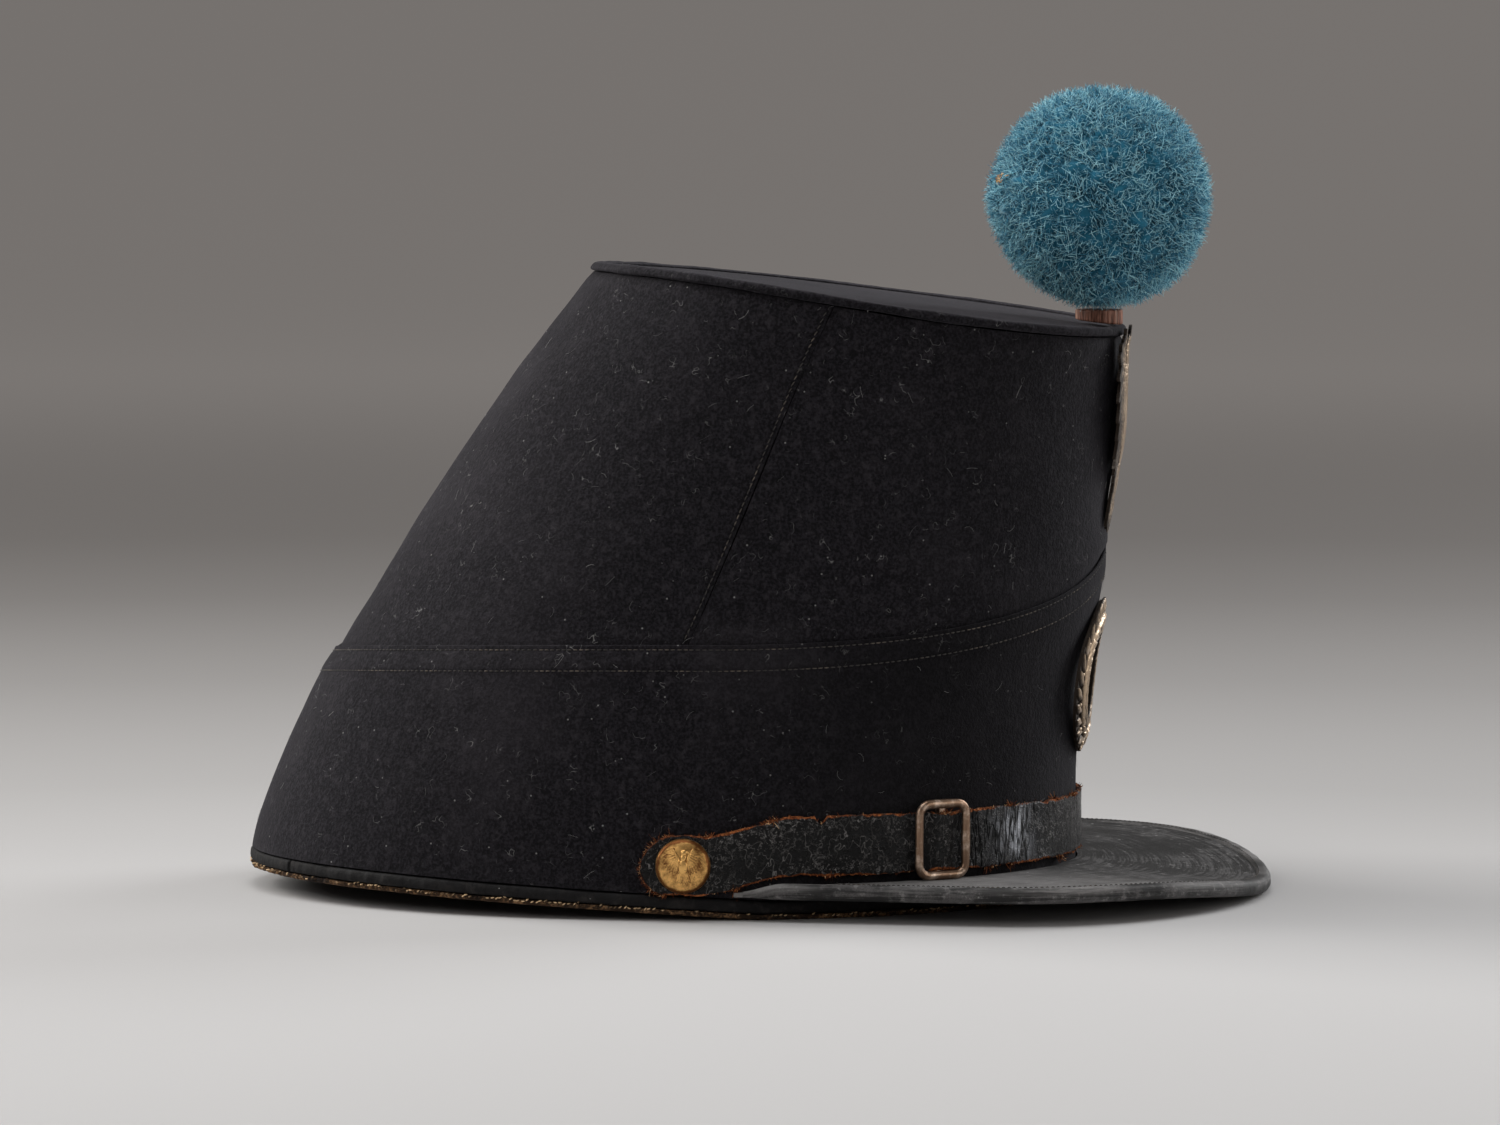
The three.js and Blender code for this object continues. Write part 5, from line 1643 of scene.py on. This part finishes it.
def pompom_core():
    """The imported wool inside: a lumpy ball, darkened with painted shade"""
    rows, columns = 90, 120
    tilt = np.linspace(0.02, math.pi - 0.02, rows)[None, :]
    turn = round_angles(columns)[:, None]
    ways = np.stack([np.sin(tilt) * np.cos(turn), np.sin(tilt) * np.sin(turn), np.cos(tilt) + 0 * turn], -1)
    reach = POMPOM_DIAMETER / 2
    lumps = pompom_lumps(ways)
    fuzz = ripples(ways * reach, (0.5, 5, 102), (0.35, 2.2, 103))
    points = pompom_middle() + ways * (reach - 2.4 * MM + lumps + fuzz)[..., None]
    return shell(points, True), np.clip(0.1 + 0.3 * fuzz / MM, 0, 1).ravel()


def pompom_lumps(ways):
    """How the ball is out of round"""
    flat = 1.3 * MM * smooth((ways @ np.array([-0.72, -0.2, -0.66]) - 0.75) / 0.2)
    return 0.7 * MM * rumple(ways * POMPOM_DIAMETER / 2, 36 * MM, 101) + 0.75 * MM - flat


# The pompom's two coats of wool ends: how long, and how much they lean at least and at most
WOOL_COATS = (
    {"name": "pompom_under", "seed": 131, "least": 0.4, "most": 0.95, "length": 1.0},
    {"name": "pompom_ends", "seed": 132, "least": 0.15, "most": 0.8, "length": 1.15},
)


def pompom_fibres(count, length, row):
    """Wool ends that stand out of the ball, each leaning its own way"""
    draw = np.random.default_rng(row["seed"])
    length = length * row["length"]
    ways = unit(even_ways(count) + draw.normal(0, 0.012, (count, 3)))
    reach = POMPOM_DIAMETER / 2 + pompom_lumps(ways)
    tuft = 0.5 + 0.5 * rumple(ways * POMPOM_DIAMETER / 2, 4.5 * MM, row["seed"] + 5)
    sizes = length * draw.uniform(0.7, 1.15, count)
    side = unit(np.cross(ways, unit(draw.normal(size=ways.shape))))
    lean = draw.uniform(row["least"], row["most"], count)[:, None]
    heading = unit(ways * (1 - lean) + side * lean)
    start = pompom_middle() + ways * (reach - length * 0.86 + 0.7 * MM * (tuft - 0.5))[:, None]
    bend = unit(draw.normal(size=ways.shape))
    t = np.linspace(0, 1, 3)[:, None]
    curve = heading[:, None] * t + 0.32 * bend[:, None] * (t * t) + ways[:, None] * 0.25 * (t - t * t)
    paths = start[:, None] + sizes[:, None, None] * curve
    offset = paths - pompom_middle()
    far = np.linalg.norm(offset, axis=-1, keepdims=True)
    limit = (reach + 1.1 * MM * draw.random(count) ** 2)[:, None, None]
    paths = pompom_middle() + offset * np.minimum(1, limit / far)
    solid = tubes(paths, 0.09 * MM * np.array([1.1, 1.0, 0.35]), HAIR_SIDES, unit(np.cross(heading, bend)))
    # painted shade: 0 at each fibre's root, 1 at its tip
    depth = np.tile(np.repeat(np.array([0.0, 0.6, 1.0]), HAIR_SIDES), count)
    tone = np.repeat(draw.random(count) * 0.75 + 0.25 * tuft, HAIR_SIDES * len(t))
    return solid, depth, tone


def wall_lint(draw, count):
    """Angles and heights of lint strewn over the crown and the band"""
    angle = draw.uniform(-math.pi, math.pi, count)
    return angle, mix(body_bottom(angle) + MM, crown_height(angle) - MM, draw.random(count))


def lint_hairs(sizes):
    """Short pale fibres lying on the cloth, and specks"""
    draw = np.random.default_rng(111)
    count = sizes.lint_count
    angle, z = wall_lint(draw, count)
    speck = draw.random(count) < 0.38
    length = np.where(speck, draw.uniform(0.08, 0.22, count), draw.uniform(0.8, 3.6, count)) * MM
    heading = draw.uniform(0, FULL_TURN, count)
    curl = draw.normal(0, 1.1, count)
    t = np.linspace(0, 1, 6)[None, :]
    aim = heading[:, None] + curl[:, None] * t
    step = length[:, None] / 5
    along = np.cumsum(np.cos(aim) * step, axis=1)
    up = np.cumsum(np.sin(aim) * step, axis=1)
    turned = angle[:, None] + along / girth(angle, z)[:, None]
    height = z[:, None] + up
    banded = height < band_height(turned)
    relief = np.where(banded, BAND_OUTER + 0.3 * MM, 0.28 * MM)
    paths = wall_point(turned, height, relief)
    thick = np.where(speck, draw.uniform(0.03, 0.075, count), draw.uniform(0.018, 0.035, count)) * MM
    solid = tubes(paths, thick[:, None], HAIR_SIDES, wall_normal(angle, z))
    return solid, np.repeat(draw.random(count) ** 1.5, HAIR_SIDES * paths.shape[1])


def straw_fleck():
    """A fleck of straw caught in the wool"""
    draw = np.random.default_rng(121)
    way = unit(np.array([-0.797, -0.579, 0.173]))
    root = pompom_middle() + way * (POMPOM_DIAMETER / 2 + 1.9 * MM)
    count = 24
    roots = root + draw.normal(0, 0.6, (count, 3)) * MM
    ways = unit(draw.normal(size=(count, 3)))
    lengths = draw.uniform(0.6, 1.4, count) * MM
    solid = hairs(roots, ways, np.broadcast_to(way, (count, 3)), lengths, 0.16 * MM, draw, 0.3)
    return solid, np.repeat(draw.uniform(0.85, 1, count), HAIR_SIDES * HAIR_POINTS)


# Settings


def colour_prop(name, description, default):
    return bpy.props.FloatVectorProperty(
        name=name, description=description, default=default, size=3, min=0, max=1, subtype="COLOR"
    )


def length_prop(name, description, default):
    return bpy.props.FloatProperty(
        name=name, description=description, default=default, min=0, unit="LENGTH", precision=5
    )


def count_prop(name, description, default):
    return bpy.props.IntProperty(name=name, description=description, default=default, min=0)


class ShakoColours(bpy.types.PropertyGroup):
    cloth: colour_prop("Cloth", "The wool cloth", (0.0158, 0.0142, 0.0178))
    cloth_dark: colour_prop("Cloth, deep", "Between the cloth's fibres", (0.0026, 0.0023, 0.0032))
    cloth_worn: colour_prop("Cloth, worn", "Where the nap is dusty", (0.036, 0.0325, 0.0375))
    cloth_painted_shade: colour_prop("Cloth, unfaded", "Where little light has reached it", (0.0008, 0.0008, 0.001))
    lint: colour_prop("Lint", "Pale fibres and dust", (0.42, 0.415, 0.41))
    thread: colour_prop("Thread", "Sewing thread", (0.03, 0.026, 0.023))
    thread_worn: colour_prop("Thread, worn", "Where the thread has lost its dye", (0.14, 0.113, 0.088))
    leather: colour_prop("Binding", "The black binding leather", (0.008, 0.0075, 0.008))
    leather_worn: colour_prop("Binding, worn", "Its scuffed creases", (0.035, 0.032, 0.031))
    strap: colour_prop("Strap", "The crazed strap leather", (0.002, 0.002, 0.0022))
    strap_worn: colour_prop("Strap, worn", "Its grain", (0.006, 0.0058, 0.006))
    crack: colour_prop("Cracks", "The depth of the strap's cracks", (0.002, 0.002, 0.002))
    # pale crazing, partly painted glints
    craze_and_glints: colour_prop("Crazing", "Pale crazing on the strap", (0.46, 0.44, 0.43))
    scuff: colour_prop("Scuff", "The strap's greyer part at the front", (0.04, 0.04, 0.043))
    # painted reflection: the strap's pale sheen patch
    polish: colour_prop("Polish", "The pale patch on the strap", (0.72, 0.75, 0.82))
    visor: colour_prop("Visor", "The worn visor leather", (0.094, 0.09, 0.09))
    visor_dark: colour_prop("Visor, dark", "Its unworn leather", (0.011, 0.0107, 0.0107))
    visor_worn: colour_prop("Visor, rubbed", "Its palest rubbed places", (0.3, 0.29, 0.285))
    fibre_dark: colour_prop("Torn, soiled", "Torn strap leather, darkest", (0.02, 0.008, 0.004))
    rust: colour_prop("Rust", "Torn strap leather, dark", (0.13, 0.032, 0.01))
    torn: colour_prop("Torn", "Torn strap leather, light", (0.42, 0.14, 0.045))
    raw_dark: colour_prop("Raw leather, dark", "The lower edge, worn and dirty", (0.035, 0.02, 0.012))
    raw: colour_prop("Raw leather", "Bare leather, light", (0.33, 0.19, 0.095))
    straw: colour_prop("Straw", "The palest fibres", (0.95, 0.66, 0.36))
    seam_thread: colour_prop("Edge thread", "Thread of the lower edge", (0.78, 0.55, 0.32))
    brass: colour_prop("Plates", "Rubbed brass of the plates", (0.62, 0.47, 0.33))
    brass_dark: colour_prop("Plates, dark", "Their brown hollows", (0.025, 0.016, 0.01))
    brass_pale: colour_prop("Plates, pale", "Their greyish bloom", (0.48, 0.43, 0.38))
    wire: colour_prop("Buckle", "The buckle's brown skin", (0.26, 0.165, 0.11))
    wire_rubbed: colour_prop("Buckle, rubbed", "Where it is rubbed bright", (0.68, 0.53, 0.42))
    gilt: colour_prop("Gilt", "The buttons", (0.88, 0.51, 0.17))
    gilt_dark: colour_prop("Gilt, dark", "Grime in their relief", (0.16, 0.06, 0.018))
    wool: colour_prop("Pompom", "The pompom's wool", (0.036, 0.25, 0.4))
    # painted shade between the pompom's fibres
    wool_shade: colour_prop("Pompom, deep", "Between its fibres", (0.002, 0.014, 0.026))
    wool_pale: colour_prop("Pompom, pale", "Its fibres' ends", (0.52, 0.88, 0.95))
    stem: colour_prop("Stem", "The stem's wood", (0.52, 0.24, 0.165))
    stem_dark: colour_prop("Stem, dark", "Its dark grain", (0.1, 0.035, 0.02))
    stem_pale: colour_prop("Stem, pale", "Its worn streaks", (0.7, 0.44, 0.33))
    # painted light: the table's pale colour lies round the cap and falls off to the backdrop's grey with
    # distance; the glow is painted light on the far sweep
    floor: colour_prop("Table", "The pale table", (0.55, 0.542, 0.54))
    backdrop: colour_prop("Backdrop", "The grey sweep behind", (0.16, 0.15, 0.143))
    painted_glow: colour_prop("Backdrop light", "Light that lies on the far sweep", (0.15, 0.139, 0.132))
    wall_starts: length_prop("Backdrop starts", "How far off the backdrop's colour is reached", 1.62)


class ShakoSizes(bpy.types.PropertyGroup):
    stitch_pitch: length_prop("Stitch pitch", "From one stitch to the next", 1.65 * MM)
    thread: length_prop("Thread", "Diameter of the sewing thread", 0.34 * MM)
    fibre_length: length_prop("Wool fibre", "Length of the pompom's fibres", 3.4 * MM)
    fibre_count: count_prop("Wool fibres", "Fibres of each coat", 13900)
    fray_count: count_prop("Strap fibres", "Loose fibres on the strap", 800)
    lint_count: count_prop("Lint", "Fibres and specks on the cloth", 560)


# Operators


def aimed(spot, aim):
    """The turn of a camera or light that stands at a spot and points at its aim"""
    return (Vector(aim) - Vector(spot)).to_track_quat("-Z", "Y").to_euler()


def area_light(row):
    data = bpy.data.lights.new(row["name"], "AREA")
    data.shape = "RECTANGLE"
    data.size = row["width"]
    data.size_y = row["height"]
    data.energy = row["watts"]
    data.color = row["colour"]
    light = bpy.data.objects.new(row["name"], data)
    light.location = row["place"]
    light.rotation_euler = aimed(row["place"], LIT_PLACE)
    bpy.context.scene.collection.objects.link(light)


def stage_camera():
    data = bpy.data.cameras.new("camera")
    data.lens = CAMERA_LENS
    data.sensor_width = 36
    data.clip_start = 0.05
    data.clip_end = 50
    camera = bpy.data.objects.new("camera", data)
    ahead = Vector((AHEAD, 0, 0))
    camera.location = Vector(CAMERA_PLACE) - ahead
    camera.rotation_euler = aimed(camera.location, Vector(CAMERA_AIM) - ahead)
    bpy.context.scene.collection.objects.link(camera)
    bpy.context.scene.camera = camera


def stage_sweep(colours):
    """A round table that curves up into a wall on all sides"""
    turn = round_angles(96)[:, None]
    bend = np.linspace(0, math.pi / 2, 14)
    foot = SWEEP_RADIUS - SWEEP_CURVE
    hub = 0.001
    back = SWEEP_RADIUS + SWEEP_THICKNESS
    profile = [(hub, 0.0), (0.5, 0.0), (1.2, 0.0), (2.4, 0.0)]
    profile += [(foot + SWEEP_CURVE * math.sin(b), SWEEP_CURVE - SWEEP_CURVE * math.cos(b)) for b in bend]
    profile += [(SWEEP_RADIUS, SWEEP_HEIGHT), (back, SWEEP_HEIGHT)]
    profile += [(back, -SWEEP_THICKNESS), (hub, -SWEEP_THICKNESS)]
    away, up = np.array(profile).T
    points = np.stack([away * np.cos(turn), away * np.sin(turn), up + 0 * turn], -1)
    mesh = new_mesh("sweep", *shell(points + (AHEAD, 0, 0), True))
    mesh.shade_smooth()
    mesh.set_sharp_from_angle(angle=math.radians(60))
    mesh.materials.append(stage_finish(colours))
    sweep = bpy.data.objects.new("sweep", mesh)
    bpy.context.scene.collection.objects.link(sweep)


class SHAKO_OT_stage(bpy.types.Operator):
    """Makes the camera, the pale sweep and the soft lights"""

    bl_idname = "shako.stage"
    bl_label = "Stage"

    def execute(self, context):
        stage_camera()
        stage_sweep(context.scene.shako_colours)
        for row in LIGHTS:
            area_light(row)
        world = bpy.data.worlds.new("studio")
        world.use_nodes = True
        background = next(n for n in world.node_tree.nodes if n.type == "BACKGROUND")
        background.inputs["Color"].default_value = WORLD_COLOUR
        background.inputs["Strength"].default_value = WORLD_STRENGTH
        context.scene.world = world
        context.scene.view_settings.view_transform = "Standard"
        return {"FINISHED"}


class SHAKO_OT_crown(bpy.types.Operator):
    """Makes the crown's two cloth panels, its top and the welt"""

    bl_idname = "shako.crown"
    bl_label = "Crown"

    def execute(self, context):
        sizes = context.scene.shako_sizes
        colours = context.scene.shako_colours
        cloth = cloth_finish(colours)
        gap = math.radians(SEAM_GAP)
        front = crown_panel(lambda z: gap - seam_line(z), lambda z: seam_line(z) - gap, 0)
        back = crown_panel(lambda z: seam_line(z) + gap, lambda z: FULL_TURN - seam_line(z) - gap, 1)
        make("crown_front_cloth", front[0], cloth, ["crown_front"], front[1])
        make("crown_back_cloth", back[0], cloth, ["crown_back"], back[1])
        top = top_cloth()
        # painted shade: the top cloth is darkened all over
        unfaded = {"unfaded": np.full(len(top[0]), 0.3)}
        make("crown_top_cloth", top, cloth, ["crown_top"], unfaded)
        make("top_welt_cloth", welt(), cloth, ["top_welt"])
        rows = joined([seam_stitches(side, sizes) for side in (-1, 1)])
        make("seam_stitches", rows, thread_finish(colours))
        return {"FINISHED"}


class SHAKO_OT_band(bpy.types.Operator):
    """Makes the cloth band and its two rows of stitches"""

    bl_idname = "shako.band"
    bl_label = "Band"

    def execute(self, context):
        sizes = context.scene.shako_sizes
        band = band_cloth()
        # painted shade: the band grows darker towards its front
        unfaded = {"unfaded": 0.6 * smooth(band[0][:, 0] / (80 * MM))}
        make("band_cloth", band, bpy.data.materials["Fulled wool cloth"], ["band"], unfaded)
        rows = joined([band_stitches(FIRST_ROW, sizes, 43), band_stitches(SECOND_ROW, sizes, 44)])
        make("band_stitches", rows, bpy.data.materials["Sewing thread"])
        return {"FINISHED"}


class SHAKO_OT_binding(bpy.types.Operator):
    """Makes the leather binding and the raw edge below it"""

    bl_idname = "shako.binding"
    bl_label = "Binding"

    def execute(self, context):
        sizes = context.scene.shako_sizes
        colours = context.scene.shako_colours
        make("binding_leather", binding(), leather_finish(colours), ["base_binding"])
        make("raw_edge_leather", raw_edge(), raw_finish(colours), ["raw_edge"])
        make("edge_stitches", edge_stitches(sizes), edge_thread_finish(colours))
        return {"FINISHED"}


class SHAKO_OT_visor(bpy.types.Operator):
    """Makes the visor and the leather folded over its edge"""

    bl_idname = "shako.visor"
    bl_label = "Visor"

    def execute(self, context):
        sizes = context.scene.shako_sizes
        colours = context.scene.shako_colours
        leather = visor_finish(colours)
        plate, attributes = visor_plate()
        make("visor_leather", plate, leather, ["visor"], attributes)
        trim, attributes = visor_trim()
        make("visor_trim_leather", trim, leather, ["visor_trim"], attributes)
        make("visor_stitches", trim_stitches(sizes), bpy.data.materials["Sewing thread"])
        return {"FINISHED"}


class SHAKO_OT_strap(bpy.types.Operator):
    """Makes the chin strap and its torn fibres"""

    bl_idname = "shako.strap"
    bl_label = "Chin strap"

    def execute(self, context):
        sizes = context.scene.shako_sizes
        colours = context.scene.shako_colours
        body, attributes = strap_body()
        make("strap_leather", body, strap_finish(colours), ["chin_strap"], attributes)
        frays = [strap_frays(sizes), end_frays()]
        tones = np.concatenate([tone for _, tone in frays])
        solid = joined([solid for solid, _ in frays])
        make("strap_frays", solid, fray_finish(colours), (), {"tone": tones})
        return {"FINISHED"}


class SHAKO_OT_buckle(bpy.types.Operator):
    """Makes the wire buckle"""

    bl_idname = "shako.buckle"
    bl_label = "Buckle"

    def execute(self, context):
        colours = context.scene.shako_colours
        make("buckle_wire", buckle_body(), buckle_finish(colours), ["buckle"])
        return {"FINISHED"}


class SHAKO_OT_buttons(bpy.types.Operator):
    """Makes the two gilt buttons"""

    bl_idname = "shako.buttons"
    bl_label = "Buttons"

    def execute(self, context):
        colours = context.scene.shako_colours
        gilt = gilt_finish(colours)
        for name, side in (("button_right", -1), ("button_left", 1)):
            body, crest = button_body(side)
            make(name + "_gilt", body, gilt, [name], {"crest": crest})
        return {"FINISHED"}


class SHAKO_OT_plates(bpy.types.Operator):
    """Makes the stamped eagle and the laurel wreath"""

    bl_idname = "shako.plates"
    bl_label = "Front plates"

    def execute(self, context):
        colours = context.scene.shako_colours
        brass = brass_finish(colours)
        parts = eagle(EAGLE_WIDTH / 2, EAGLE_TALL, 0.22 * MM, PLATE_THICKNESS)
        stamping, crest = emboss(parts, onto_eagle)
        worn = {"crest": crest, "stippled": np.full(len(crest), 0.3)}
        make("eagle_stamping", stamping, brass, ["eagle_plate"], worn)
        wreath, crest = emboss(laurel(WREATH_WIDTH, WREATH_HEIGHT, WREATH_RIM, 0.7 * MM), onto_wreath)
        make("wreath_relief", wreath, brass, (), {"crest": crest})
        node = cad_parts["wreath_plate"]
        node.data.materials.clear()
        node.data.materials.append(brass)
        return {"FINISHED"}


class SHAKO_OT_pompom(bpy.types.Operator):
    """Makes the wool pompom and its stem"""

    bl_idname = "shako.pompom"
    bl_label = "Pompom"

    def execute(self, context):
        sizes = context.scene.shako_sizes
        colours = context.scene.shako_colours
        wool = pompom_finish(colours)
        core, depth = pompom_core()
        tone = np.full(len(depth), 0.35)
        make("pompom_wool", core, wool, ["pompom"], {"depth": depth, "tone": tone})
        for row in WOOL_COATS:
            solid, depth, tone = pompom_fibres(sizes.fibre_count, sizes.fibre_length, row)
            make(row["name"], solid, wool, (), {"depth": depth, "tone": tone})
        make("stem_wood", stem_body(), stem_finish(colours), ["pompom_stem"])
        solid, tone = straw_fleck()
        straw = bpy.data.materials["Torn leather fibres"]
        make("straw_fleck", solid, straw, (), {"tone": tone})
        return {"FINISHED"}


class SHAKO_OT_lint(bpy.types.Operator):
    """Strews lint over the cloth"""

    bl_idname = "shako.lint"
    bl_label = "Lint"

    def execute(self, context):
        sizes = context.scene.shako_sizes
        colours = context.scene.shako_colours
        solid, tone = lint_hairs(sizes)
        make("cloth_lint", solid, lint_finish(colours), (), {"tone": tone})
        return {"FINISHED"}


OPERATORS = (
    SHAKO_OT_stage,
    SHAKO_OT_crown,
    SHAKO_OT_band,
    SHAKO_OT_binding,
    SHAKO_OT_visor,
    SHAKO_OT_strap,
    SHAKO_OT_buckle,
    SHAKO_OT_buttons,
    SHAKO_OT_plates,
    SHAKO_OT_pompom,
    SHAKO_OT_lint,
)


class SHAKO_PT_panel(bpy.types.Panel):
    """Lists the shako's pieces in the sidebar"""

    bl_label = "Shako"
    bl_space_type = "VIEW_3D"
    bl_region_type = "UI"
    bl_category = "Shako"

    def draw(self, context):
        for operator in OPERATORS:
            self.layout.operator(operator.bl_idname)


CLASSES = (ShakoColours, ShakoSizes, *OPERATORS, SHAKO_PT_panel)


def register():
    for cls in CLASSES:
        bpy.utils.register_class(cls)
    bpy.types.Scene.shako_colours = bpy.props.PointerProperty(type=ShakoColours)
    bpy.types.Scene.shako_sizes = bpy.props.PointerProperty(type=ShakoSizes)


def unregister():
    del bpy.types.Scene.shako_sizes
    del bpy.types.Scene.shako_colours
    for cls in reversed(CLASSES):
        bpy.utils.unregister_class(cls)


def main():
    register()
    for operator in OPERATORS:
        family, name = operator.bl_idname.split(".")
        getattr(getattr(bpy.ops, family), name)()


if __name__ == "__main__":
    main()
